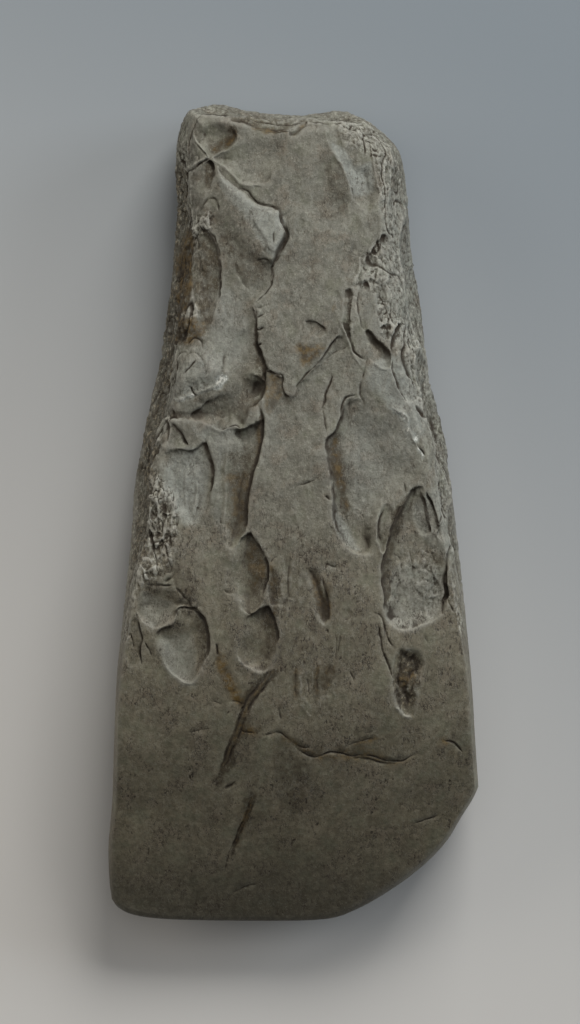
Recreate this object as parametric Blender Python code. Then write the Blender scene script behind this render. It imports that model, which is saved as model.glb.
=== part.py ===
"""Argillite adze: one flaked, pecked and part-ground stone blade, lying on its back with its face up.

The frame: +Z up out of the face, +Y from the cutting edge to the poll, the origin under the middle of the
stone on the surface it lies on. Sizes are in millimetres and become metres when the mesh is made.
"""

import bpy
import bmesh
import numpy as np

MM = 0.001

# Driving sizes
LENGTH = 180.0
BLADE_WIDTH = 81.5
POLL_WIDTH = 51.0
THICKNESS = 35.0
POLL_THICKNESS = 23.5
EDGE_HEIGHT = 11.5
EDGE_THICKNESS = 1.2
BEVEL_LENGTH = 42.0
FACE_CROWN = 3.0
BACK_CROWN = 2.6
BACK_TAPER = 2.4
GROUND_FLAT_DEPTH = 0.7
CHIN_SOFTNESS = 0.07
BEVEL_HOLLOW = 0.25
SCAR_DEPTH = 1.35
PECKING_HEIGHT = 0.35

# The adze that the outline and the scars below are drawn on
DRAWN_LENGTH = 180.0
DRAWN_BLADE_WIDTH = 81.5
DRAWN_POLL_WIDTH = 51.0
WIDTHS_AT = (-60.0, 60.0)

# Mesh
COLUMNS = 120
ROWS = 240
EDGE_CROWDING = 0.6
TRIANGLES = 9200
WELD = 0.00001
SHARP_ANGLE = 28.0
CURVE_STEPS = 5

# Outline seen from above, one smooth run for each side, in millimetres from the middle
POLL_SIDE = (
    (-24.6, 86.0), (-23.2, 88.4), (-20.4, 89.4), (-17.0, 90.0), (-13.0, 89.8), (-8.0, 89.2),
    (-2.0, 88.6), (5.0, 88.3), (10.5, 88.6), (13.5, 87.6), (17.0, 86.0), (20.3, 83.2),
)
LEFT_SIDE = (
    (-24.6, 86.0), (-25.7, 81.0), (-25.9, 75.0), (-25.7, 66.0), (-26.3, 57.0), (-27.3, 48.0),
    (-28.8, 38.5), (-31.2, 25.5), (-33.3, 15.5), (-34.9, 6.0), (-35.9, -8.0), (-37.4, -22.0),
    (-38.9, -37.0), (-39.6, -55.0), (-39.9, -64.0), (-40.7, -73.0), (-40.5, -81.0), (-40.0, -85.2),
)
RIGHT_SIDE = (
    (20.3, 83.2), (23.3, 79.6), (24.6, 74.0), (25.4, 66.0), (26.2, 57.0), (28.0, 48.0),
    (28.9, 40.0), (29.8, 31.0), (31.6, 24.0), (34.0, 15.5), (34.7, 6.0), (36.3, -7.0),
    (37.9, -23.0), (39.2, -37.0), (40.0, -50.0), (40.7, -60.4),
)
CUTTING_SIDE = (
    (-40.0, -85.2), (-38.6, -87.0), (-35.8, -88.5), (-30.0, -89.5), (-20.0, -89.9), (-10.0, -90.0),
    (0.0, -90.0), (5.0, -89.8), (8.5, -89.4), (12.0, -88.3), (17.5, -85.6), (24.4, -81.1),
    (30.0, -76.5), (34.0, -72.0), (37.0, -67.0), (39.4, -63.2), (40.7, -60.4),
)

# Crest of the face along the adze: place on the drawn length, share of the thickness
FACE_CREST = (
    (-90.0, 0.0), (-83.0, 0.125), (-73.0, 0.32), (-60.0, 0.60), (-46.0, 0.84), (-30.0, 0.97),
    (-8.0, 1.0), (30.0, 0.92), (60.0, 0.80), (90.0, 0.66),
)
# How far in from the outline the rounded side reaches, in millimetres
SIDE_REACH = (
    (-90.0, 1.2), (-55.0, 1.3), (-35.0, 1.6), (-20.0, 2.6), (10.0, 5.5), (35.0, 7.5), (60.0, 7.0),
    (80.0, 6.0), (90.0, 4.6),
)
SIDE_OVERLAP = 0.2
SIDE_BLUNTNESS = 1.7
WIDEST_SHARE = 0.30
BACK_REACH = 3.6
BACK_BLUNTNESS = 2.0
EDGE_ROUND_SHARE = 0.6
# How far in the crown of the face, the back scars and the relief are full, in millimetres
CROWN_FADE = 25.0
BACK_SCAR_FADE = 3.0
RELIEF_FADE = 1.6
# How quickly a crisp stretch of a scar's rim gives way to a soft one
RIM_BLEND = 8.0

# Flake scars on the face: depth, then the outline as (across, along, reach of the wall there). A reach with a
# minus sign has a rim that rolls over softly.
SCARS = {
    "poll hollow": (1.32, (
        (-21.2, 81.2, 3.2), (-21.8, 84.5, -5), (-18.5, 87.0, -6), (-14.6, 85.6, -4), (-12.7, 83.0, 3.9),
        (-12.5, 81.2, 3.9), (-13.6, 79.5, 3.4), (-16.0, 78.1, 3.4), (-18.3, 77.1, 4.2),
        (-19.4, 78.6, 4.2))),
    "poll left scoop": (0.88, (
        (-18.2, 76.4, 2.4), (-17.4, 75.0, 2.4), (-17.6, 71.6, 2.9), (-19.0, 69.2, -3),
        (-21.5, 69.6, -4), (-22.8, 72.5, -4), (-21.5, 75.4, -4))),
    "poll face scar": (0.79, (
        (-17.4, 77.2, 2.9), (-13.0, 80.4, -4), (-8.0, 83.4, -7), (-1.0, 83.4, -8), (1.5, 78.5, -8),
        (-1.5, 75.0, -4), (-4.4, 73.6, 4.2), (-5.4, 72.0, 3.6), (-7.4, 71.1, 3.2), (-10.2, 71.4, 2.9),
        (-11.8, 72.0, 2.9), (-14.6, 74.6, 2.9))),
    "right facet": (0.79, (
        (4.0, 79.0, -6), (7.6, 79.0, -5), (10.0, 75.6, -6), (12.2, 70.8, -6), (13.4, 67.5, -5),
        (12.0, 62.0, -5), (6.0, 60.5, -8), (2.0, 66.0, -8), (2.0, 74.0, -8))),
    "right corner facet": (1.06, (
        (10.8, 76.4, -6.5), (13.0, 77.0, -6), (17.6, 75.8, -5), (18.0, 72.0, -4), (18.4, 68.8, -4),
        (17.0, 65.0, -4), (13.8, 67.0, 6.5), (12.2, 71.5, 6.5))),
    "left middle flake": (0.95, (
        (-19.5, 66.0, -9), (-15.5, 64.6, -7), (-12.2, 63.2, -6), (-9.6, 61.0, -5.5), (-7.2, 58.2, -5),
        (-5.2, 55.6, -3), (-4.3, 53.4, 2.2), (-4.8, 50.2, 2.1), (-6.2, 47.8, 2.1), (-8.4, 45.2, 2.1),
        (-7.9, 41.0, 2.3), (-7.9, 37.0, 2.3), (-6.4, 32.2, 2.3), (-6.2, 28.5, 2.3), (-7.2, 24.8, 2.9),
        (-10.5, 23.5, -5), (-17.0, 27.5, -8), (-19.5, 36.0, -8), (-19.5, 50.0, -9))),
    "left leaf scar": (0.88, (
        (-20.5, 62.5, -2), (-18.6, 60.8, 2.3), (-17.0, 58.4, 2), (-16.1, 54.5, 2), (-15.7, 49.5, 2),
        (-16.3, 45.3, 2.1), (-18.0, 41.0, 2.9), (-19.5, 37.5, -3), (-21.0, 43.0, 5.8),
        (-22.4, 50.0, 5.8), (-22.6, 57.0, 5.8))),
    "left dish": (1.67, (
        (-28.6, 24.0, -6), (-24.5, 24.3, -8), (-20.0, 26.0, -8), (-15.0, 28.8, -8), (-10.5, 30.5, -6),
        (-6.6, 28.5, 2.6), (-7.0, 25.0, 2.6), (-9.2, 22.6, 3), (-10.6, 18.4, 3), (-13.0, 18.8, 2.4),
        (-16.0, 17.6, 2.9), (-20.0, 19.4, 4.2), (-24.5, 19.9, 4.2), (-28.0, 20.6, 4.2))),
    "left smooth scar": (0.88, (
        (-29.5, 11.5, -4), (-26.0, 13.6, 3.4), (-22.0, 13.4, 3.4), (-19.4, 15.2, 2.3), (-18.6, 12.4, 2),
        (-17.6, 9.4, 2), (-17.6, 4.0, 2.3), (-18.8, -1.5, -3), (-22.0, -3.5, -3), (-25.0, -1.0, -4),
        (-28.5, 4.5, -4))),
    "long channel": (1.23, (
        (-13.5, 17.5, -3), (-10.6, 18.0, 2.6), (-7.0, 20.0, 2.4), (-6.9, 16.5, 2.3), (-7.6, 13.0, 2.3),
        (-8.6, 9.0, 2.3), (-9.7, 5.0, 2.3), (-9.9, 0.5, 2.4), (-10.1, -3.2, 2.9), (-11.6, -6.2, 3.9),
        (-13.4, -8.2, 4.2), (-15.4, -5.5, -4.5), (-15.2, 0.0, -4.5), (-14.9, 6.0, -4.5),
        (-14.6, 12.5, -4.5))),
    "middle step": (0.7, (
        (-6.4, 30.6, 2.3), (-3.6, 29.6, 2.1), (-2.2, 28.6, 2.1), (-2.4, 26.4, 2.1), (-0.4, 25.0, 2),
        (2.0, 28.6, 2.1), (5.2, 32.0, 2.1), (9.8, 38.2, 2.4), (13.0, 34.0, -6), (14.5, 28.0, -8),
        (11.0, 22.0, -8), (7.5, 13.0, -9), (3.0, 3.0, -12), (-5.0, 4.0, -12), (-9.0, 10.0, -8),
        (-7.0, 20.0, -5))),
    "right hollow": (1.05, (
        (15.0, 39.2, -2), (16.4, 39.5, 1.9), (18.6, 37.2, 1.8), (21.2, 34.6, 1.8), (21.2, 31.7, 2.4),
        (18.3, 31.2, -3), (15.8, 32.8, -4), (14.4, 36.0, -4))),
    "right curved flake": (0.88, (
        (22.8, 40.6, 2.6), (21.3, 36.0, 2.1), (21.5, 30.6, 2.1), (22.8, 26.6, 2.3), (25.2, 23.8, 3.4),
        (27.5, 25.0, 5.8), (25.2, 28.8, 6.5), (24.0, 32.0, 6.5), (24.4, 37.0, 6.5), (25.4, 40.2, 5.8))),
    "right dish": (1.58, (
        (11.2, 24.4, -3), (13.6, 25.4, -5), (17.0, 25.4, -10), (21.5, 23.2, -11), (24.8, 20.4, -10),
        (25.8, 16.0, -10), (28.0, 11.0, -11), (29.0, 7.5, -11), (25.6, 5.0, -8), (22.2, 2.0, -6),
        (18.6, -1.5, -4), (18.0, -5.5, -3), (17.0, -8.8, -2.5), (14.0, -9.4, 4.5), (11.0, -7.4, 3.6),
        (9.2, -4.0, 3.2), (8.4, -0.5, 2.9), (8.4, 4.0, 2.8), (7.4, 9.5, 3), (6.8, 15.0, 2.9),
        (9.2, 18.0, 2.6), (10.2, 21.0, 2.4))),
    "right lower scar": (1.41, (
        (26.4, 5.4, 2.6), (24.9, 4.0, 2.4), (23.4, 1.4, 2.5), (22.2, -1.4, 2.6), (20.8, -5.5, 2.6),
        (19.6, -10.0, 2.5), (19.1, -14.5, 2.5), (19.5, -19.0, 2.6), (20.2, -23.4, -2),
        (23.0, -25.2, 5.8), (26.5, -25.0, 5.8), (30.5, -23.4, 5.8), (33.2, -20.5, 3.4),
        (33.4, -14.0, 3.4), (33.4, -6.0, -5), (31.5, 0.5, -8), (28.8, 4.8, -6))),
    "small leaf scar": (0.62, (
        (20.4, 2.0, 2.9), (18.6, 0.2, 2.6), (18.0, -3.6, 2.4), (18.2, -6.6, 2.3), (19.4, -9.0, 2.1),
        (20.2, -7.0, 2.6), (21.0, -3.5, 3.2), (22.0, -0.5, 3.2))),
    "middle pit": (0.88, (
        (2.6, -12.0, -3), (5.2, -12.2, -3), (7.0, -15.8, -3), (7.6, -19.5, 2.1), (7.8, -23.4, 2),
        (6.6, -24.4, -1.5), (5.0, -22.4, -2), (4.0, -18.6, -3), (2.8, -15.4, -3))),
    "lower left scoop": (1.32, (
        (-9.8, -4.4, 3.4), (-8.0, -6.2, 4.2), (-6.6, -8.6, 5.2), (-5.6, -11.2, 5.8), (-5.4, -14.0, 5.8),
        (-5.8, -16.6, 5.2), (-7.0, -19.4, 4.2), (-9.4, -22.0, 3.6), (-12.5, -20.0, -4),
        (-15.0, -15.5, -5), (-14.0, -9.0, -5))),
    "lower middle scoop": (1.14, (
        (-9.4, -22.0, 2.9), (-6.4, -20.0, 2.6), (-5.2, -20.2, 2.6), (-4.2, -22.8, 2.9),
        (-3.4, -25.8, 2.9), (-3.6, -28.4, 3.6), (-4.2, -32.0, -2), (-6.8, -34.4, 4.2),
        (-10.6, -33.0, 4.2), (-12.6, -30.0, -3), (-12.0, -25.0, -5))),
    "lower left oval": (1.32, (
        (-25.2, -21.0, 2.6), (-22.6, -20.6, 2.6), (-20.4, -21.0, 2.6), (-18.8, -24.2, 3.6),
        (-18.4, -27.5, 3.9), (-18.8, -31.0, 3.9), (-20.0, -34.4, 4.2), (-22.6, -36.9, 4.5),
        (-25.8, -35.4, 4.8), (-28.4, -31.5, -4), (-30.0, -27.5, -5), (-29.0, -25.2, 4.2),
        (-26.0, -24.0, 4.2))),
    "left edge scoop": (1.14, (
        (-32.0, -15.4, -4), (-28.5, -15.2, -6), (-25.6, -15.8, -6), (-23.6, -18.4, -4),
        (-21.8, -20.6, 2.9), (-25.2, -20.8, 2.3), (-25.4, -22.4, 3.4), (-27.6, -24.4, 3.9),
        (-30.4, -24.9, 4.2), (-33.2, -23.0, 4.5), (-34.0, -19.5, -3))),
    "right reddish hollow": (0.75, (
        (22.6, -29.2, -2.5), (21.4, -33.0, 2), (21.6, -38.0, 2.2), (22.2, -42.0, 3), (24.4, -44.4, 4),
        (26.6, -42.6, -3), (27.4, -37.5, -3), (28.5, -33.0, 2.6), (27.2, -29.8, -2.5),
        (25.0, -29.2, -2.5))),
}

# Layers left standing proud of their surroundings, written the same way
LAYERS = {
    "face tongue": (1.0, (
        (-17.0, 75.0, 2.3), (-15.4, 73.0, 1.7), (-13.0, 71.2, 1.5), (-11.0, 69.6, 1.3),
        (-9.8, 68.8, 1.3), (-8.2, 67.3, 1.3), (-5.4, 66.3, 1.2), (-3.1, 65.6, 1.2), (-2.6, 63.4, 1.2),
        (-1.5, 60.7, 1.2), (-2.6, 57.8, 1.2), (-4.3, 54.0, 1.5), (-6.5, 46.5, -10), (-12.5, 44.0, -16),
        (-19.5, 54.0, -15), (-20.0, 67.0, -8))),
    "left knob": (0.75, (
        (-28.5, 36.0, -5), (-22.0, 38.0, -5), (-16.0, 35.5, -5), (-13.0, 30.0, -4), (-18.0, 26.8, -4.5),
        (-24.0, 24.4, -4), (-28.0, 24.2, -3.5), (-29.5, 29.0, -4))),
}

# Flake scars on the back, written the same way as those on the face
BACK_SCARS = {
    "back poll scar": (1.3, (
        (-16.0, 82.0, -4), (-6.0, 85.0, 3), (5.0, 84.5, 3), (11.0, 78.0, -5), (7.0, 67.0, -7),
        (-3.0, 62.0, -7), (-13.0, 68.0, -6))),
    "back left upper scar": (1.5, (
        (-25.5, 66.0, 3), (-19.0, 67.0, 3), (-12.0, 58.0, 4.5), (-12.5, 46.0, -6), (-19.0, 40.0, -6),
        (-27.5, 42.0, 3))),
    "back right upper scar": (1.4, (
        (25.0, 72.0, 3), (17.5, 70.0, 4), (13.0, 60.0, 4.5), (15.0, 49.0, -6), (22.0, 45.0, -5),
        (27.5, 50.0, 3))),
    "back left lower scar": (1.3, (
        (-29.5, 33.0, 3), (-22.0, 34.0, 3.5), (-17.0, 24.0, 4.5), (-19.0, 11.0, -7), (-27.0, 6.0, -6),
        (-33.5, 12.0, 3))),
    "back right lower scar": (1.5, (
        (29.0, 38.0, 3), (22.0, 36.0, 3.5), (16.5, 24.0, 4.5), (18.5, 9.0, -7), (26.0, 2.0, -6),
        (33.5, 10.0, 3))),
    "back left edge chip": (1.0, (
        (-36.0, -8.0, 3), (-30.0, -6.0, 3), (-27.0, -14.0, 3.5), (-31.0, -23.0, -4), (-37.0, -22.0, 3))),
    "back right edge chip": (0.9, (
        (36.0, -12.0, 3), (30.5, -13.0, 3), (29.0, -20.0, -4), (33.0, -29.0, -4), (38.0, -26.0, 3))),
}

# Chips struck off the sides and the poll: side, place along it, share of the thickness, distance in from the
# outline, dip of the blow and turn of the chip in degrees, length, breadth, depth
CHIPS = (
    ("left", 79.0, 0.66, 2.8, 34.0, 12.0, 13.0, 9.0, 0.9),
    ("left", 68.0, 0.50, 1.7, 14.0, -16.0, 19.0, 13.0, 1.1),
    ("left", 55.0, 0.60, 2.2, 26.0, 24.0, 15.0, 11.0, 1.2),
    ("left", 42.0, 0.50, 1.5, 12.0, -8.0, 24.0, 14.0, 1.1),
    ("left", 29.0, 0.62, 2.0, 28.0, 30.0, 14.0, 12.0, 1.2),
    ("left", 14.0, 0.50, 1.2, 14.0, -20.0, 25.0, 14.0, 1.0),
    ("left", -3.0, 0.58, 1.0, 20.0, 14.0, 17.0, 10.0, 0.8),
    ("left", 62.0, 0.13, 0.9, -42.0, 10.0, 23.0, 9.0, 1.1),
    ("left", 39.0, 0.15, 0.9, -30.0, -14.0, 17.0, 10.0, 1.4),
    ("left", 24.0, 0.12, 0.8, -40.0, 8.0, 21.0, 8.0, 1.0),
    ("left", 4.0, 0.14, 0.8, -34.0, -8.0, 16.0, 8.0, 1.2),
    ("right", 71.0, 0.56, 2.2, 20.0, 18.0, 17.0, 12.0, 1.1),
    ("right", 57.0, 0.48, 1.4, 12.0, -12.0, 23.0, 14.0, 1.1),
    ("right", 43.0, 0.62, 2.2, 28.0, 26.0, 14.0, 11.0, 1.2),
    ("right", 30.0, 0.50, 1.5, 14.0, -18.0, 21.0, 14.0, 1.1),
    ("right", 13.0, 0.56, 1.5, 20.0, 10.0, 19.0, 12.0, 1.0),
    ("right", -4.0, 0.50, 1.1, 12.0, -14.0, 18.0, 11.0, 0.8),
    ("right", 74.0, 0.14, 0.9, -36.0, -10.0, 15.0, 8.0, 1.1),
    ("right", 53.0, 0.12, 0.9, -42.0, 8.0, 24.0, 9.0, 1.2),
    ("right", 33.0, 0.15, 0.9, -30.0, -16.0, 16.0, 10.0, 1.4),
    ("right", 15.0, 0.13, 0.8, -38.0, 6.0, 20.0, 8.0, 1.0),
    ("poll", -15.5, 0.60, 1.8, 20.0, 14.0, 13.0, 10.0, 0.8),
    ("poll", -2.0, 0.54, 1.5, 12.0, -10.0, 18.0, 12.0, 0.9),
    ("poll", 11.0, 0.62, 1.8, 22.0, 16.0, 12.0, 9.0, 0.8),
    ("poll", -8.0, 0.08, 1.4, -42.0, 8.0, 20.0, 7.0, 0.9),
    ("poll", 9.0, 0.08, 1.2, -38.0, -12.0, 13.0, 7.0, 0.8),
)

# The part of the face that was pecked and left rough, as shares from none to all, along the adze
ROUGH_ALONG = ((-90.0, 0.0), (-40.0, 0.05), (-28.0, 0.55), (-10.0, 1.0), (90.0, 1.0))
UNDULATION = 0.45
UNDULATION_SIZE = 11.0
PECK_SIZE = 3.6
NOISE_CELLS = 64

STONE_COLOUR = (0.135, 0.132, 0.110, 1.0)
STONE_ROUGHNESS = 0.62


def stations_curve(stations, places):
    """A smooth curve through (place, value) stations, read at the given places."""
    at, values = np.array(stations, float).T
    slopes = np.gradient(values, at)
    cell = np.clip(np.searchsorted(at, places) - 1, 0, len(at) - 2)
    span = at[cell + 1] - at[cell]
    t = np.clip((places - at[cell]) / span, 0.0, 1.0)
    rise = values[cell + 1] - values[cell]
    bend = t * (1 - t) * ((slopes[cell] * span - rise) * (1 - t) + (rise - slopes[cell + 1] * span) * t)
    return values[cell] + rise * t + bend


def smooth_run(points, closed=False):
    """Points of a smooth run through the given ones, each with any number of values."""
    points = np.array(points, float)
    if closed:
        before, after = points[-1:], points[:2]
    else:
        before, after = 2 * points[:1] - points[1:2], 2 * points[-1:] - points[-2:-1]
    padded = np.concatenate([before, points, after])
    share = (np.arange(CURVE_STEPS) / CURVE_STEPS)[None, :, None]
    a, b, c, d = (padded[k:len(padded) - 3 + k, None, :] for k in range(4))
    run = b + 0.5 * share * (c - a + share * (2 * a - 5 * b + 4 * c - d + share * (3 * (b - c) + d - a)))
    run = run.reshape(-1, points.shape[1])
    return run if closed else np.concatenate([run, points[-1:]])


def along_run(run, shares):
    """Places on a run of points, at shares of its length."""
    steps = np.linalg.norm(np.diff(run, axis=0), axis=1)
    reached = np.concatenate([[0.0], np.cumsum(steps)])
    wanted = shares * reached[-1]
    return np.stack([np.interp(wanted, reached, run[:, k]) for k in range(2)], axis=-1)


def crowded(count):
    """Shares from 0 to 1 that lie closer together near both ends."""
    even = np.linspace(0.0, 1.0, count + 1)
    return (1 - EDGE_CROWDING) * even + EDGE_CROWDING * (1 - np.cos(np.pi * even)) / 2


def plan_grid():
    """The grid of plan points that fills the outline: rows from poll to cutting edge, columns left to right."""
    sides = [smooth_run(side) for side in (POLL_SIDE, CUTTING_SIDE, LEFT_SIDE, RIGHT_SIDE)]
    s, t = crowded(COLUMNS), crowded(ROWS)
    top, bottom = along_run(sides[0], s)[None], along_run(sides[1], s)[None]
    left, right = along_run(sides[2], t)[:, None], along_run(sides[3], t)[:, None]
    s, t = s[None, :, None], t[:, None, None]
    corners = (1 - s) * (1 - t) * top[:, :1] + s * (1 - t) * top[:, -1:]
    corners = corners + (1 - s) * t * bottom[:, :1] + s * t * bottom[:, -1:]
    grid = (1 - t) * top + t * bottom + (1 - s) * left + s * right - corners
    outline = np.concatenate([sides[0], sides[3][1:], sides[1][::-1][1:], sides[2][::-1][1:-1]])
    return grid, outline


def segment_distances(x, y, run):
    """Distance from each point to each segment of a closed run, and the share along the segment."""
    start, end = run, np.roll(run, -1, axis=0)
    dx, dy = (end - start)[:, 0, None], (end - start)[:, 1, None]
    px, py = x[None] - start[:, 0, None], y[None] - start[:, 1, None]
    share = np.clip((px * dx + py * dy) / np.maximum(dx * dx + dy * dy, 1e-9), 0.0, 1.0)
    return np.hypot(px - share * dx, py - share * dy), share


def inside(x, y, run):
    """Whether each point lies inside a closed run."""
    x1, y1 = run[:, 0, None], run[:, 1, None]
    x2, y2 = np.roll(x1, -1, axis=0), np.roll(y1, -1, axis=0)
    crosses = (y1 > y[None]) != (y2 > y[None])
    where = x1 + (y[None] - y1) * (x2 - x1) / np.where(y2 == y1, 1.0, y2 - y1)
    return (crosses & (x[None] < where)).sum(axis=0) % 2 == 1


def patch_depth(x, y, outline):
    """Share of its depth that a scar has at each point: none outside, rising inward over the wall's reach."""
    outline = np.array(outline, float)
    outline = np.column_stack([outline[:, :2], np.abs(outline[:, 2]), outline[:, 2] < 0])
    run = smooth_run(outline, closed=True)
    end = np.roll(run, -1, axis=0)
    depth = np.zeros_like(x)
    near = (x > run[:, 0].min()) & (x < run[:, 0].max()) & (y > run[:, 1].min()) & (y < run[:, 1].max())
    within = near.copy()
    within[near] = inside(x[near], y[near], run)
    distance, share = segment_distances(x[within], y[within], run[:, :2])
    reach = run[:, 2, None] + share * (end[:, 2] - run[:, 2])[:, None]
    depths = distance / reach
    nearest = depths.min(axis=0)
    weight = np.exp(-RIM_BLEND * (depths - nearest))
    soft_rim = np.clip(run[:, 3, None] + share * (end[:, 3] - run[:, 3])[:, None], 0.0, 1.0)
    softness = (weight * soft_rim).sum(axis=0) / weight.sum(axis=0)
    rise = np.clip(nearest, 0.0, 1.0)
    crisp, soft = rise * (2 - rise), rise * rise * (3 - 2 * rise)
    depth[within] = crisp + softness * (soft - crisp)
    return depth


def noise(x, y, size, seed):
    """Smooth noise from -1 to 1 whose lumps are about the given size."""
    table = np.random.default_rng(seed).uniform(-1.0, 1.0, (NOISE_CELLS, NOISE_CELLS))
    u, v = x / size + NOISE_CELLS, y / size + NOISE_CELLS
    i, j = np.floor(u).astype(int), np.floor(v).astype(int)
    u, v = u - i, v - j
    u, v = u * u * (3 - 2 * u), v * v * (3 - 2 * v)
    a, b = table[i % NOISE_CELLS, j % NOISE_CELLS], table[(i + 1) % NOISE_CELLS, j % NOISE_CELLS]
    c, d = table[i % NOISE_CELLS, (j + 1) % NOISE_CELLS], table[(i + 1) % NOISE_CELLS, (j + 1) % NOISE_CELLS]
    return (a * (1 - u) + b * u) * (1 - v) + (c * (1 - u) + d * u) * v


def rounded(distance, reach, bluntness):
    """Share of full height at a distance in from a rounded border."""
    short = 1 - np.clip(distance / reach, 0.0, 1.0)
    return (1 - short ** bluntness) ** (1 / bluntness)


def face_relief(x, y, border):
    """Height that the scars, layers and pecking give the face, in millimetres."""
    height = np.zeros_like(x)
    for depth, outline in SCARS.values():
        height -= SCAR_DEPTH * depth * patch_depth(x, y, outline)
    for depth, outline in LAYERS.values():
        height += SCAR_DEPTH * depth * patch_depth(x, y, outline)
    rough = stations_curve(ROUGH_ALONG, y)
    height += rough * UNDULATION * noise(x, y, UNDULATION_SIZE, 1)
    beside = 1 - np.clip(border / stations_curve(SIDE_REACH, y) - SIDE_OVERLAP, 0.0, 1.0)
    height += rough * beside * PECKING_HEIGHT * noise(x, y, PECK_SIZE, 2)
    return height * np.clip(border / RELIEF_FADE, 0.0, 1.0)


def heights(x, y, border):
    """Heights of the face and the back over each plan point. They meet on the outline."""
    half = np.interp(y, WIDTHS_AT, (DRAWN_BLADE_WIDTH / 2, DRAWN_POLL_WIDTH / 2))
    across = np.clip(np.abs(x) / half, 0.0, 1.0) ** 2
    half_length = DRAWN_LENGTH / 2
    chin = BEVEL_LENGTH * DRAWN_LENGTH / LENGTH - half_length
    bevel = (chin - y) / (chin + half_length)
    bevel = np.clip((bevel + np.sqrt(bevel * bevel + CHIN_SOFTNESS ** 2)) / 2, 0.0, 1.0)
    taper = np.clip(y / half_length, 0.0, 1.0) ** 2
    back = BACK_CROWN * across * (1 - bevel) + BACK_TAPER * taper - GROUND_FLAT_DEPTH * (1 - bevel)
    back += EDGE_HEIGHT * bevel * (1 + BEVEL_HOLLOW * (1 - bevel))
    crest = stations_curve(FACE_CREST, y)
    poll_share = np.clip((crest - 1.0) / (FACE_CREST[-1][1] - 1.0), 0.0, 1.0) * (y > 0)
    top = EDGE_HEIGHT + EDGE_THICKNESS + (THICKNESS - EDGE_HEIGHT - EDGE_THICKNESS) * crest
    top = np.where(y > 0, THICKNESS + (POLL_THICKNESS - THICKNESS) * poll_share, top)
    face = top - FACE_CROWN * across * np.clip((y + half_length) / CROWN_FADE, 0.0, 1.0)
    full = np.maximum(face - back, EDGE_THICKNESS)
    widest = back + (WIDEST_SHARE + (0.5 - WIDEST_SHARE) * bevel) * full
    reach = np.minimum(stations_curve(SIDE_REACH, y), EDGE_ROUND_SHARE * full)
    face = widest + (back + full - widest) * rounded(border, reach, SIDE_BLUNTNESS)
    scarred = sum(depth * patch_depth(x, y, outline) for depth, outline in BACK_SCARS.values())
    back += SCAR_DEPTH * scarred * np.clip(border / BACK_SCAR_FADE, 0.0, 1.0)
    back_reach = np.minimum(BACK_REACH, EDGE_ROUND_SHARE * full)
    back = widest - (widest - back) * rounded(border, back_reach, BACK_BLUNTNESS)
    return face + face_relief(x, y, border), back


def chipped(points):
    """Surface points with the chips taken off: a chip leaves a shallow bowl with a crisp rim."""
    points = points.copy()
    for side, place, share, inset, dip, turn, length, breadth, depth in CHIPS:
        dip, turn = np.radians(dip), np.radians(turn)
        if side == "poll":
            run, level, along = np.array(POLL_SIDE), POLL_THICKNESS, np.array([1.0, 0.0, 0.0])
            middle = np.array([place, np.interp(place, run[:, 0], run[:, 1]) - inset, share * level])
            inward = np.array([0.0, -np.cos(dip), -np.sin(dip)])
        else:
            sign = -1.0 if side == "left" else 1.0
            run = np.array(LEFT_SIDE if side == "left" else RIGHT_SIDE)[::-1]
            along = np.array([0.0, 1.0, 0.0])
            edge = np.interp(place, run[:, 1], run[:, 0])
            middle = np.array([edge - sign * inset, place, share * THICKNESS])
            inward = np.array([-sign * np.cos(dip), 0.0, -np.sin(dip)])
        across = np.cross(inward, along)
        turned = np.cos(turn) * along + np.sin(turn) * across
        across = np.cos(turn) * across - np.sin(turn) * along
        offset = points - middle
        bowl = depth * (1 - (2 * (offset @ turned) / length) ** 2 - (2 * (offset @ across) / breadth) ** 2)
        points += np.outer(np.clip(bowl - offset @ inward, 0.0, None), inward)
    return points


def real_plan(x, y):
    """Plan points of the drawn adze moved to the driving sizes."""
    toward_poll = np.clip(y / DRAWN_LENGTH + 0.5, 0.0, 1.0)
    blade, poll = BLADE_WIDTH / DRAWN_BLADE_WIDTH, POLL_WIDTH / DRAWN_POLL_WIDTH
    return x * (blade + (poll - blade) * toward_poll), y * LENGTH / DRAWN_LENGTH


def stone_surface():
    """The closed surface as a bmesh: a face sheet and a back sheet welded along the outline."""
    grid, outline = plan_grid()
    x, y = grid[..., 0].ravel(), grid[..., 1].ravel()
    border = segment_distances(x, y, outline)[0].min(axis=0)
    shape = grid.shape[:2]
    on_outline = np.zeros(shape, bool)
    on_outline[[0, -1], :] = True
    on_outline[:, [0, -1]] = True
    border[on_outline.ravel()] = 0.0
    sheets = []
    for height in heights(x, y, border):
        points = chipped(np.stack([x, y, height], axis=1))
        points[:, 0], points[:, 1] = real_plan(points[:, 0], points[:, 1])
        sheets.append(points * MM)
    surface = bmesh.new()
    for sheet, points in enumerate(sheets):
        made = bmesh.ops.create_grid(surface, x_segments=COLUMNS, y_segments=ROWS, size=1.0)["verts"]
        for vertex in made:
            column = round((vertex.co.x + 1) / 2 * COLUMNS)
            row = round((1 - vertex.co.y) / 2 * ROWS)
            vertex.co = points[row * (COLUMNS + 1) + column]
        if sheet:
            made_faces = {face for vertex in made for face in vertex.link_faces}
            bmesh.ops.reverse_faces(surface, faces=list(made_faces))
    bmesh.ops.remove_doubles(surface, verts=surface.verts, dist=WELD)
    return surface


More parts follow.
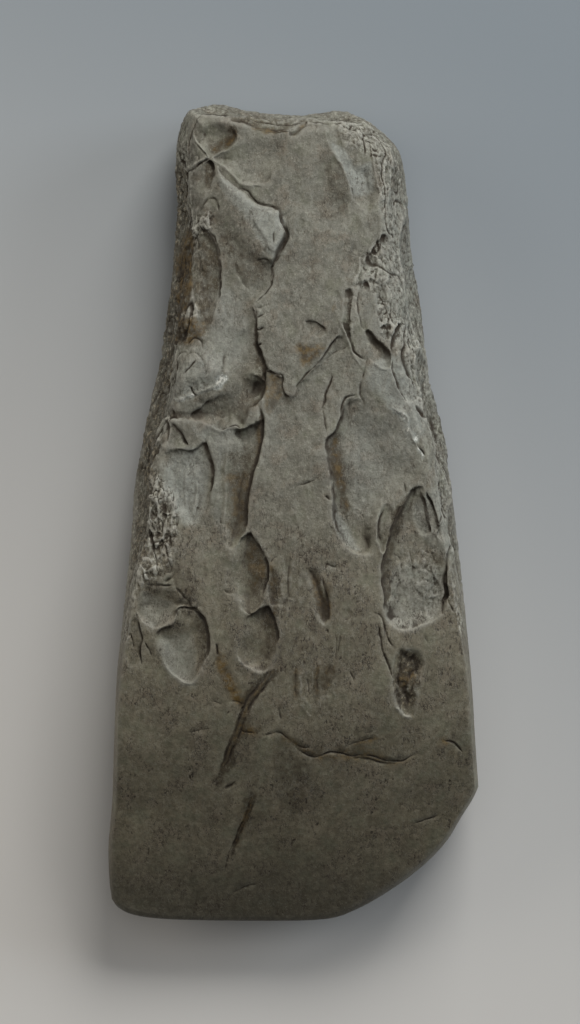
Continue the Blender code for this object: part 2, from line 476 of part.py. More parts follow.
def lighten(stone):
    """Merges triangles where the surface is plain, and keeps them at the ridges."""
    count = sum(len(polygon.vertices) - 2 for polygon in stone.data.polygons)
    decimate = stone.modifiers.new("Fewer triangles", "DECIMATE")
    decimate.ratio = TRIANGLES / count
    graph = bpy.context.evaluated_depsgraph_get()
    lighter = bpy.data.meshes.new_from_object(stone.evaluated_get(graph))
    stone.modifiers.clear()
    stone.data = lighter


def grind_flat(stone):
    """Cuts the underside level, so that the stone rests on a real flat."""
    surface = bmesh.new()
    surface.from_mesh(stone.data)
    everything = surface.verts[:] + surface.edges[:] + surface.faces[:]
    cut = bmesh.ops.bisect_plane(
        surface, geom=everything, dist=WELD / 10, plane_co=(0, 0, 0), plane_no=(0, 0, -1), clear_outer=True)
    rim = [item for item in cut["geom_cut"] if isinstance(item, bmesh.types.BMEdge)]
    flat = bmesh.ops.contextual_create(surface, geom=rim)["faces"]
    bmesh.ops.poke(surface, faces=flat)
    bmesh.ops.remove_doubles(surface, verts=surface.verts, dist=WELD)
    bmesh.ops.recalc_face_normals(surface, faces=surface.faces)
    surface.to_mesh(stone.data)
    surface.free()


def stone_material():
    material = bpy.data.materials.new("argillite")
    material.use_nodes = True
    shader = material.node_tree.nodes["Principled BSDF"]
    shader.inputs["Base Color"].default_value = STONE_COLOUR
    shader.inputs["Roughness"].default_value = STONE_ROUGHNESS
    shader.inputs["Metallic"].default_value = 0.0
    return material


def make_adze(collection):
    mesh = bpy.data.meshes.new("adze")
    surface = stone_surface()
    surface.to_mesh(mesh)
    surface.free()
    stone = bpy.data.objects.new("adze", mesh)
    collection.objects.link(stone)
    lighten(stone)
    grind_flat(stone)
    stone.data.name = "adze"
    stone.data.materials.append(stone_material())
    stone.data.shade_smooth()
    stone.data.set_sharp_from_angle(angle=np.radians(SHARP_ANGLE))


def main():
    for obj in list(bpy.data.objects):
        bpy.data.objects.remove(obj, do_unlink=True)
    collection = bpy.data.collections.new("argillite adze")
    bpy.context.scene.collection.children.link(collection)
    make_adze(collection)


main()
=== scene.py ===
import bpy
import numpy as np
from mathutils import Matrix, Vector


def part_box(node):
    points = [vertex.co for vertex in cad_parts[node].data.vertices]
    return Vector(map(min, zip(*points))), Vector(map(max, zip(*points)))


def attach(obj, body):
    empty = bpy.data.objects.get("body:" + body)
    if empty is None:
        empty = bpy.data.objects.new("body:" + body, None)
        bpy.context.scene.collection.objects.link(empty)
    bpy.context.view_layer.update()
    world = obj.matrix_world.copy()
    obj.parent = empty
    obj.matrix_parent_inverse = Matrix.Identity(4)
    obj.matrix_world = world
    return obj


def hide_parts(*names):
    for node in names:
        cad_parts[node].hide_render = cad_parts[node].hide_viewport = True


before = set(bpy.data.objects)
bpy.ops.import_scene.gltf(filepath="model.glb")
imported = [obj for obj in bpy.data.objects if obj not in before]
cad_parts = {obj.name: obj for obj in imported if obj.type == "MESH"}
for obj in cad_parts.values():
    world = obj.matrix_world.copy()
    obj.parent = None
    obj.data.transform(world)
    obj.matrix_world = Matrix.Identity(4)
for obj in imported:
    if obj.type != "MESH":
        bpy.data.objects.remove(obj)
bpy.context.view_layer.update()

# The looks of the argillite adze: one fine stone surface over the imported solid, its material, and a soft
# studio. Shapes are worked out in millimetres on the drawn adze, +X right, +Y to the poll, +Z up out of the
# face, and become metres when they are fitted to the solid's box.

MM = 0.001

# The drawn adze
LENGTH = 180.0
BLADE_WIDTH = 81.5
POLL_WIDTH = 51.0
WIDTHS_AT = (-60.0, 60.0)
THICKNESS = 35.0
POLL_THICKNESS = 23.5
EDGE_HEIGHT = 11.5
EDGE_THICKNESS = 1.2
BEVEL_LENGTH = 42.0
FACE_CROWN = 3.0
BACK_CROWN = 2.6
BACK_TAPER = 2.4
GROUND_FLAT_DEPTH = 0.7
CHIN_SOFTNESS = 0.07
BEVEL_HOLLOW = 0.25
SCAR_DEPTH = 1.35

# Mesh
COLUMNS = 480
ROWS = 880
BACK_SKIP = 4
COLUMN_CROWDING = 0.5
ROW_CROWDING = 0.2
MOST_TRIANGLES = 196000
CURVE_STEPS = 5
CHUNK = 6000

# Outline seen from above
POLL_SIDE = (
    (-24.6, 86), (-23.2, 88.4), (-20.4, 89.4), (-17, 90), (-13, 89.8), (-8, 89.2), (-2, 88.6), (5, 88.3),
    (10.5, 88.6), (13.5, 87.6), (17, 86), (20.3, 83.2),
)
LEFT_SIDE = (
    (-24.6, 86), (-25.7, 81), (-25.9, 75), (-25.7, 66), (-26.3, 57), (-27.3, 48), (-28.8, 38.5),
    (-31.2, 25.5), (-33.3, 15.5), (-34.9, 6), (-35.9, -8), (-37.4, -22), (-38.9, -37), (-39.6, -55),
    (-39.9, -64), (-40.7, -73), (-40.5, -81), (-40, -85.2),
)
RIGHT_SIDE = (
    (20.3, 83.2), (23.3, 79.6), (24.6, 74), (25.4, 66), (26.2, 57), (28, 48), (28.9, 40), (29.8, 31),
    (31.6, 24), (34, 15.5), (34.7, 6), (36.3, -7), (37.9, -23), (39.2, -37), (40, -50), (40.7, -60.4),
)
CUTTING_SIDE = (
    (-40, -85.2), (-38.6, -87), (-35.8, -88.5), (-30, -89.5), (-20, -89.9), (-10, -90), (0, -90),
    (5, -89.8), (8.5, -89.4), (12, -88.3), (17.5, -85.6), (24.4, -81.1), (30, -76.5), (34, -72), (37, -67),
    (39.4, -63.2), (40.7, -60.4),
)

# Crest of the face along the adze: place, share of the thickness
FACE_CREST = (
    (-90, 0), (-83, 0.125), (-73, 0.32), (-60, 0.6), (-46, 0.84), (-30, 0.97), (-8, 1), (30, 0.92),
    (60, 0.8), (90, 0.66),
)
# How far in from the outline the sides round off: place, reach
SIDE_REACH = (
    (-90, 1.2), (-55, 1.3), (-35, 1.6), (-20, 2.6), (10, 5.5), (35, 7.5), (60, 7), (80, 6), (90, 4.6),
)
SIDE_BLUNTNESS = 1.7
WIDEST_SHARE = 0.3
BACK_REACH = 3.6
BACK_BLUNTNESS = 2.0
EDGE_ROUND_SHARE = 0.6
# How far in the crown of the face, the back scars and the relief are full, in millimetres
CROWN_FADE = 25.0
BACK_SCAR_FADE = 3.0
RELIEF_FADE = 1.6

# Main flake scars on the face: depth, then the outline as (across, along, reach of the wall there). A reach
# with a minus sign has a rim that rolls over softly.
SCARS = {
    "poll hollow": (1.32, ((-21.2, 81.2, 3.2), (-21.8, 84.5, -5), (-18.5, 87, -6), (-14.6, 85.6, -4),
        (-12.7, 83, 3.9), (-12.5, 81.2, 3.9), (-13.6, 79.5, 3.4), (-16, 78.1, 3.4), (-18.3, 77.1, 4.2),
        (-19.4, 78.6, 4.2))),
    "poll left scoop": (0.88, ((-18.2, 76.4, 2.4), (-17.4, 75, 2.4), (-17.6, 71.6, 2.9), (-19, 69.2, -3),
        (-21.5, 69.6, -4), (-22.8, 72.5, -4), (-21.5, 75.4, -4))),
    "poll face scar": (0.79, ((-17.4, 77.2, 2.9), (-13, 80.4, -4), (-8, 83.4, -7), (-1, 83.4, -8),
        (1.5, 78.5, -8), (-1.5, 75, -4), (-4.4, 73.6, 4.2), (-5.4, 72, 3.6), (-7.4, 71.1, 3.2),
        (-10.2, 71.4, 2.9), (-11.8, 72, 2.9), (-14.6, 74.6, 2.9))),
    "right facet": (0.79, ((4, 79, -6), (7.6, 79, -5), (10, 75.6, -6), (12.2, 70.8, -6), (13.4, 67.5, -5),
        (12, 62, -5), (6, 60.5, -8), (2, 66, -8), (2, 74, -8))),
    "right corner facet": (1.06, ((10.8, 76.4, -6.5), (13, 77, -6), (17.6, 75.8, -5), (18, 72, -4),
        (18.4, 68.8, -4), (17, 65, -4), (13.8, 67, 6.5), (12.2, 71.5, 6.5))),
    "left middle flake": (0.95, ((-19.5, 66, -9), (-15.5, 64.6, -7), (-12.2, 63.2, -6), (-9.6, 61, -5.5),
        (-7.2, 58.2, -5), (-5.2, 55.6, -3), (-4.3, 53.4, 2.2), (-4.8, 50.2, 2.1), (-6.2, 47.8, 2.1),
        (-8.4, 45.2, 2.1), (-7.9, 41, 2.3), (-7.9, 37, 2.3), (-6.4, 32.2, 2.3), (-6.2, 28.5, 2.3),
        (-7.2, 24.8, 2.9), (-10.5, 23.5, -5), (-17, 27.5, -8), (-19.5, 36, -8), (-19.5, 50, -9))),
    "left leaf scar": (0.88, ((-20.5, 62.5, -2), (-18.6, 60.8, 2.3), (-17, 58.4, 2), (-16.1, 54.5, 2),
        (-15.7, 49.5, 2), (-16.3, 45.3, 2.1), (-18, 41, 2.9), (-19.5, 37.5, -3), (-21, 43, 5.8),
        (-22.4, 50, 5.8), (-22.6, 57, 5.8))),
    "left dish": (1.67, ((-28.6, 24, -6), (-24.5, 24.3, -8), (-20, 26, -8), (-15, 28.8, -8),
        (-10.5, 30.5, -6), (-6.6, 28.5, 2.6), (-7, 25, 2.6), (-9.2, 22.6, 3), (-10.6, 18.4, 3),
        (-13, 18.8, 2.4), (-16, 17.6, 2.9), (-20, 19.4, 4.2), (-24.5, 19.9, 4.2), (-28, 20.6, 4.2))),
    "left smooth scar": (0.88, ((-29.5, 11.5, -4), (-26, 13.6, 3.4), (-22, 13.4, 3.4), (-19.4, 15.2, 2.3),
        (-18.6, 12.4, 2), (-17.6, 9.4, 2), (-17.6, 4, 2.3), (-18.8, -1.5, -3), (-22, -3.5, -3),
        (-25, -1, -4), (-28.5, 4.5, -4))),
    "long channel": (1.23, ((-13.5, 17.5, -3), (-10.6, 18, 2.6), (-7, 20, 2.4), (-6.9, 16.5, 2.3),
        (-7.6, 13, 2.3), (-8.6, 9, 2.3), (-9.7, 5, 2.3), (-9.9, 0.5, 2.4), (-10.1, -3.2, 2.9),
        (-11.6, -6.2, 3.9), (-13.4, -8.2, 4.2), (-15.4, -5.5, -4.5), (-15.2, 0, -4.5), (-14.9, 6, -4.5),
        (-14.6, 12.5, -4.5))),
    "middle step": (0.7, ((-6.4, 30.6, 2.3), (-3.6, 29.6, 2.1), (-2.2, 28.6, 2.1), (-2.4, 26.4, 2.1),
        (-0.4, 25, 2), (2, 28.6, 2.1), (5.2, 32, 2.1), (9.8, 38.2, 2.4), (13, 34, -6), (14.5, 28, -8),
        (11, 22, -8), (7.5, 13, -9), (3, 3, -12), (-5, 4, -12), (-9, 10, -8), (-7, 20, -5))),
    "right hollow": (1.05, ((15, 39.2, -2), (16.4, 39.5, 1.9), (18.6, 37.2, 1.8), (21.2, 34.6, 1.8),
        (21.2, 31.7, 2.4), (18.3, 31.2, -3), (15.8, 32.8, -4), (14.4, 36, -4))),
    "right curved flake": (0.88, ((22.8, 40.6, 2.6), (21.3, 36, 2.1), (21.5, 30.6, 2.1), (22.8, 26.6, 2.3),
        (25.2, 23.8, 3.4), (27.5, 25, 5.8), (25.2, 28.8, 6.5), (24, 32, 6.5), (24.4, 37, 6.5),
        (25.4, 40.2, 5.8))),
    "right dish": (1.58, ((11.2, 24.4, -3), (13.6, 25.4, -5), (17, 25.4, -10), (21.5, 23.2, -11),
        (24.8, 20.4, -10), (25.8, 16, -10), (28, 11, -11), (29, 7.5, -11), (25.6, 5, -8), (22.2, 2, -6),
        (18.6, -1.5, -4), (18, -5.5, -3), (17, -8.8, -2.5), (14, -9.4, 4.5), (11, -7.4, 3.6),
        (9.2, -4, 3.2), (8.4, -0.5, 2.9), (8.4, 4, 2.8), (7.4, 9.5, 3), (6.8, 15, 2.9), (9.2, 18, 2.6),
        (10.2, 21, 2.4))),
    "right lower scar": (1.41, ((26.4, 5.4, 2.6), (24.9, 4, 2.4), (23.4, 1.4, 2.5), (22.2, -1.4, 2.6),
        (20.8, -5.5, 2.6), (19.6, -10, 2.5), (19.1, -14.5, 2.5), (19.5, -19, 2.6), (20.2, -23.4, -2),
        (23, -25.2, 5.8), (26.5, -25, 5.8), (30.5, -23.4, 5.8), (33.2, -20.5, 3.4), (33.4, -14, 3.4),
        (33.4, -6, -5), (31.5, 0.5, -8), (28.8, 4.8, -6))),
    "small leaf scar": (0.62, ((20.4, 2, 2.9), (18.6, 0.2, 2.6), (18, -3.6, 2.4), (18.2, -6.6, 2.3),
        (19.4, -9, 2.1), (20.2, -7, 2.6), (21, -3.5, 3.2), (22, -0.5, 3.2))),
    "middle pit": (0.88, ((2.6, -12, -3), (5.2, -12.2, -3), (7, -15.8, -3), (7.6, -19.5, 2.1),
        (7.8, -23.4, 2), (6.6, -24.4, -1.5), (5, -22.4, -2), (4, -18.6, -3), (2.8, -15.4, -3))),
    "lower left scoop": (1.32, ((-9.8, -4.4, 3.4), (-8, -6.2, 4.2), (-6.6, -8.6, 5.2), (-5.6, -11.2, 5.8),
        (-5.4, -14, 5.8), (-5.8, -16.6, 5.2), (-7, -19.4, 4.2), (-9.4, -22, 3.6), (-12.5, -20, -4),
        (-15, -15.5, -5), (-14, -9, -5))),
    "lower middle scoop": (1.14, ((-9.4, -22, 2.9), (-6.4, -20, 2.6), (-5.2, -20.2, 2.6),
        (-4.2, -22.8, 2.9), (-3.4, -25.8, 2.9), (-3.6, -28.4, 3.6), (-4.2, -32, -2), (-6.8, -34.4, 4.2),
        (-10.6, -33, 4.2), (-12.6, -30, -3), (-12, -25, -5))),
    "lower left oval": (1.32, ((-25.2, -21, 2.6), (-22.6, -20.6, 2.6), (-20.4, -21, 2.6),
        (-18.8, -24.2, 3.6), (-18.4, -27.5, 3.9), (-18.8, -31, 3.9), (-20, -34.4, 4.2), (-22.6, -36.9, 4.5),
        (-25.8, -35.4, 4.8), (-28.4, -31.5, -4), (-30, -27.5, -5), (-29, -25.2, 4.2), (-26, -24, 4.2))),
    "left edge scoop": (1.14, ((-32, -15.4, -4), (-28.5, -15.2, -6), (-25.6, -15.8, -6), (-23.6, -18.4, -4),
        (-21.8, -20.6, 2.9), (-25.2, -20.8, 2.3), (-25.4, -22.4, 3.4), (-27.6, -24.4, 3.9),
        (-30.4, -24.9, 4.2), (-33.2, -23, 4.5), (-34, -19.5, -3))),
    "right reddish hollow": (0.75, ((22.6, -29.2, -2.5), (21.4, -33, 2), (21.6, -38, 2.2), (22.2, -42, 3),
        (24.4, -44.4, 4), (26.6, -42.6, -3), (27.4, -37.5, -3), (28.5, -33, 2.6), (27.2, -29.8, -2.5),
        (25, -29.2, -2.5))),
}

# Layers left standing proud of their surroundings, written the same way
LAYERS = {
    "face tongue": (1, ((-17, 75, 2.3), (-15.4, 73, 1.7), (-13, 71.2, 1.5), (-11, 69.6, 1.3),
        (-9.8, 68.8, 1.3), (-8.2, 67.3, 1.3), (-5.4, 66.3, 1.2), (-3.1, 65.6, 1.2), (-2.6, 63.4, 1.2),
        (-1.5, 60.7, 1.2), (-2.6, 57.8, 1.2), (-4.3, 54, 1.5), (-6.5, 46.5, -10), (-12.5, 44, -16),
        (-19.5, 54, -15), (-20, 67, -8))),
    "left knob": (0.75, ((-28.5, 36, -5), (-22, 38, -5), (-16, 35.5, -5), (-13, 30, -4), (-18, 26.8, -4.5),
        (-24, 24.4, -4), (-28, 24.2, -3.5), (-29.5, 29, -4))),
}

# Flake scars on the back, written the same way as those on the face
BACK_SCARS = {
    "back poll scar": (1.3, ((-16, 82, -4), (-6, 85, 3), (5, 84.5, 3), (11, 78, -5), (7, 67, -7),
        (-3, 62, -7), (-13, 68, -6))),
    "back left upper scar": (1.5, ((-25.5, 66, 3), (-19, 67, 3), (-12, 58, 4.5), (-12.5, 46, -6),
        (-19, 40, -6), (-27.5, 42, 3))),
    "back right upper scar": (1.4, ((25, 72, 3), (17.5, 70, 4), (13, 60, 4.5), (15, 49, -6), (22, 45, -5),
        (27.5, 50, 3))),
    "back left lower scar": (1.3, ((-29.5, 33, 3), (-22, 34, 3.5), (-17, 24, 4.5), (-19, 11, -7),
        (-27, 6, -6), (-33.5, 12, 3))),
    "back right lower scar": (1.5, ((29, 38, 3), (22, 36, 3.5), (16.5, 24, 4.5), (18.5, 9, -7), (26, 2, -6),
        (33.5, 10, 3))),
    "back left edge chip": (1, ((-36, -8, 3), (-30, -6, 3), (-27, -14, 3.5), (-31, -23, -4),
        (-37, -22, 3))),
    "back right edge chip": (0.9, ((36, -12, 3), (30.5, -13, 3), (29, -20, -4), (33, -29, -4),
        (38, -26, 3))),
}

# Chips struck off the sides and the poll: side, place along it, share of the thickness, distance in from the
# outline, dip of the blow and turn of the chip in degrees, length, breadth, depth
CHIPS = (
    ("left", 79, 0.66, 2.8, 34, 12, 13, 9, 0.9),
    ("left", 68, 0.5, 1.7, 14, -16, 19, 13, 1.1),
    ("left", 55, 0.6, 2.2, 26, 24, 15, 11, 1.2),
    ("left", 42, 0.5, 1.5, 12, -8, 24, 14, 1.1),
    ("left", 29, 0.62, 2, 28, 30, 14, 12, 1.2),
    ("left", 14, 0.5, 1.2, 14, -20, 25, 14, 1),
    ("left", -3, 0.58, 1, 20, 14, 17, 10, 0.8),
    ("left", 62, 0.13, 0.9, -42, 10, 23, 9, 1.1),
    ("left", 39, 0.15, 0.9, -30, -14, 17, 10, 1.4),
    ("left", 24, 0.12, 0.8, -40, 8, 21, 8, 1),
    ("left", 4, 0.14, 0.8, -34, -8, 16, 8, 1.2),
    ("right", 71, 0.56, 2.2, 20, 18, 17, 12, 1.1),
    ("right", 57, 0.48, 1.4, 12, -12, 23, 14, 1.1),
    ("right", 43, 0.62, 2.2, 28, 26, 14, 11, 1.2),
    ("right", 30, 0.5, 1.5, 14, -18, 21, 14, 1.1),
    ("right", 13, 0.56, 1.5, 20, 10, 19, 12, 1),
    ("right", -4, 0.5, 1.1, 12, -14, 18, 11, 0.8),
    ("right", 74, 0.14, 0.9, -36, -10, 15, 8, 1.1),
    ("right", 53, 0.12, 0.9, -42, 8, 24, 9, 1.2),
    ("right", 33, 0.15, 0.9, -30, -16, 16, 10, 1.4),
    ("right", 15, 0.13, 0.8, -38, 6, 20, 8, 1),
    ("poll", -15.5, 0.6, 1.8, 20, 14, 13, 10, 0.8),
    ("poll", -2, 0.54, 1.5, 12, -10, 18, 12, 0.9),
    ("poll", 11, 0.62, 1.8, 22, 16, 12, 9, 0.8),
    ("poll", -8, 0.08, 1.4, -42, 8, 20, 7, 0.9),
    ("poll", 9, 0.08, 1.2, -38, -12, 13, 7, 0.8),
)

# Smaller scars that only the fine surface shows, with their full depth. One with a minus sign is raised.
SMALL_SCARS = {
    "poll left facet": (0.51, ((-24.8, 82, -3), (-21.6, 80.8, -2), (-19, 77.6, 2.4), (-20.6, 76.5, 1.6),
        (-24.6, 74.9, 1.6))),
    "poll end flake": (0.85, ((-14, 86.6, 2.4), (-9, 88.4, 4.2), (-1, 88.2, 4.2), (3, 85.8, 1.8),
        (1, 84, 1.5), (-2, 82.9, 1.4), (-6, 82.8, 1.2), (-9, 83.6, 1.2), (-12, 84.8, 1.5))),
    "poll chip": (1.1, ((-0.8, 82, 1.2), (0.3, 81.8, 1.2), (1.8, 82.8, 1.2), (3, 84.4, 1.4), (2.6, 85.2, 3),
        (0.6, 84.8, 3), (-0.8, 83.6, 3))),
    "poll right hollow": (0.8, ((7, 84.2, -3), (9.8, 85.2, -3), (12.2, 83.6, -3), (12, 80.6, -3),
        (10, 77, -3), (8, 79.2, -3), (6.6, 81.4, -3))),
    "tongue end": (-0.34, ((-8.9, 63.4, 0.7), (-7.4, 65, 1.6), (-3, 65.6, 1.6), (-1.5, 61, 1.6),
        (-3.5, 56.6, 1.6), (-5.3, 57, 0.7), (-6.6, 59.6, 0.7))),
    "left edge dent": (0.42, ((-23.4, 67.6, -1.5), (-21.5, 69, -1.5), (-20.2, 68, -1.5),
        (-20.4, 66.4, -1.5), (-22, 65.4, -1.5), (-23.4, 66.2, -1.5))),
    "leaf scar fold": (0.42, ((-21.8, 52.4, 4.2), (-19.4, 52.6, 3), (-18.3, 49.2, 1.5), (-19, 45, 1.5),
        (-20, 46, 3), (-21.3, 49.4, 4.2))),
    "middle sliver": (0.51, ((-13.2, 54, 4.2), (-11.8, 53, 4.2), (-9.6, 48, 3.6), (-10.6, 48.6, 1.2),
        (-11.4, 49.6, 1.1), (-12.4, 51.6, 1.1))),
    "stain lens": (0.51, ((2.4, 41.3, 1.4), (4.6, 41.3, 1.2), (6.9, 39.6, 1.2), (6.4, 38, 4.2),
        (3.4, 38.2, 4.2))),
    "dish squiggle": (0.42, ((-22.2, 20.4, 1.2), (-22.2, 21.8, 1.1), (-20, 22.8, 1.1), (-18, 24.4, 1.1),
        (-14, 26, 5.5), (-12.5, 21.5, 5.5), (-17, 20, 4.2))),
    "bench below dish": (0.42, ((-19, 18.8, 2.5), (-15.6, 17.5, 1.4), (-13.2, 18.4, 1.4),
        (-11.2, 17.6, 1.4), (-11.4, 15.6, 4.2), (-15, 14.6, 4.2), (-19.6, 15.4, 4.2))),
    "edge triangle": (0.59, ((-29.6, 19.6, 3), (-28, 20.2, 1.5), (-27.2, 18, 1.2), (-27.5, 15, 1.4),
        (-28.8, 14.6, 3), (-29.8, 17.4, 3.6))),
    "slit triangle": (0.51, ((-26.8, 18.8, 1.2), (-25, 17.2, 1.1), (-23, 14.5, 1.2), (-25, 13.8, 4.2),
        (-27.2, 14, 4.2), (-27.2, 17, 4.2))),
    "slot": (0.6, ((-5.2, -12.4, -2), (-3.6, -12.8, -2), (-2.6, -15.6, -2), (-2.6, -19.2, -2),
        (-4.3, -20.2, 1.1), (-5.3, -18.6, 1.1))),
    "dish end": (-0.9, ((-11, 32, -3), (-8.6, 33, -3), (-6.8, 31, 0.8), (-6.5, 28.4, 0.8), (-7.4, 26, -3),
        (-10, 26, -3), (-11.6, 28.6, -3))),
    "oval upper pocket": (0.15, ((-25.6, -21.4, 1.2), (-24, -20.7, 1.1), (-20.4, -20.5, 1.1),
        (-20.6, -22.6, 4.2), (-24.6, -23.6, 4.2))),
    "oval top": (-0.6, ((-25.4, -21.4, 0.9), (-22.6, -20.9, 0.9), (-20.2, -21.4, 0.9), (-19.8, -25.6, -4),
        (-22.6, -27.4, -4), (-25.6, -26.2, -4))),
    "edge flat": (0.5, ((-36.4, -24.5, 3.6), (-34.2, -22.5, 1.5), (-33, -27, 1.2), (-33.2, -32.5, 1.5),
        (-35.6, -33.4, 3), (-36.8, -29, 4.2))),
    "small scoop": (0.34, ((10.4, -20.6, 3), (12.2, -20.9, 2.4), (13, -22.4, 1.2), (11, -23.5, 1.2),
        (10.4, -22, 3))),
    "rib facet one": (0.68, ((27.3, 4.2, 3), (28, 3.2, 1.2), (28.6, 0.8, 1.1), (29.3, -2, 1.1),
        (29.7, -4.6, 1.2), (27, -4.6, 5.5), (25.8, 0.8, 5.5))),
    "rib facet two": (0.68, ((28.8, 4, 2.4), (30.2, 1.4, 1.2), (31, -1.4, 1.1), (31.6, -3.6, 1.2),
        (30.2, -4.6, 2.4), (29, -0.6, 3))),
    "rib facet three": (0.68, ((33, -0.4, 1.8), (31.8, -3, 1.2), (31.2, -5.2, 1.4), (32.4, -6.6, 4.2),
        (34, -3.5, 4.2))),
    "lower scar border": (0.59, ((34.4, -6.8, 2.4), (33.3, -9.4, 1.1), (33.1, -12.4, 1.1),
        (32.6, -15.2, 1.1), (32.4, -19.4, 1.4), (34.6, -19.4, 3), (35.6, -12, 4.2))),
    "shoulder facet": (0.8, ((19.8, 60.6, 1.5), (18.4, 59, 1.2), (16.8, 56.6, 1.2), (15.3, 53.6, 1.4),
        (15.6, 51.4, -3), (19, 51, -5.5), (21.6, 55, -5.5), (21.6, 59, -3))),
    "shoulder groove": (0.68, ((10.8, 47.6, 2), (12.8, 48, 1.4), (12.4, 42, 1.4), (12.3, 37.6, 1.5),
        (11.2, 39.8, 2), (10.8, 43.6, 2))),
    "shoulder panel": (0.68, ((13.9, 47.4, 1.4), (15.6, 50.6, 4.2), (17.6, 45, 5.5), (16.4, 40.2, 4.2),
        (14.8, 39.6, 1.4), (14.2, 43.6, 1.2))),
    "arc groove": (0.85, ((25.6, 40.6, 1.5), (24.3, 37.6, 1.2), (23.7, 34, 1.1), (24, 31, 1.1),
        (25.2, 28.4, 1.2), (27.2, 25.2, 1.5), (28.2, 27, 4.2), (27, 32, 5.5), (27.2, 38, 5.5))),
    "arc tail": (0.77, ((28.2, 29.8, 1.5), (29.2, 27.2, 1.2), (29.8, 25.2, 1.2), (31.2, 24, 1.4),
        (31, 27.4, 4.2), (29.8, 30, 4.2))),
    "hollow pit": (0.22, ((24.6, -30.6, -1.5), (26.8, -30.8, -1.5), (28, -33, -1.5), (27.2, -36.6, -2),
        (25.4, -35.4, -2), (24.8, -33, -2))),
}

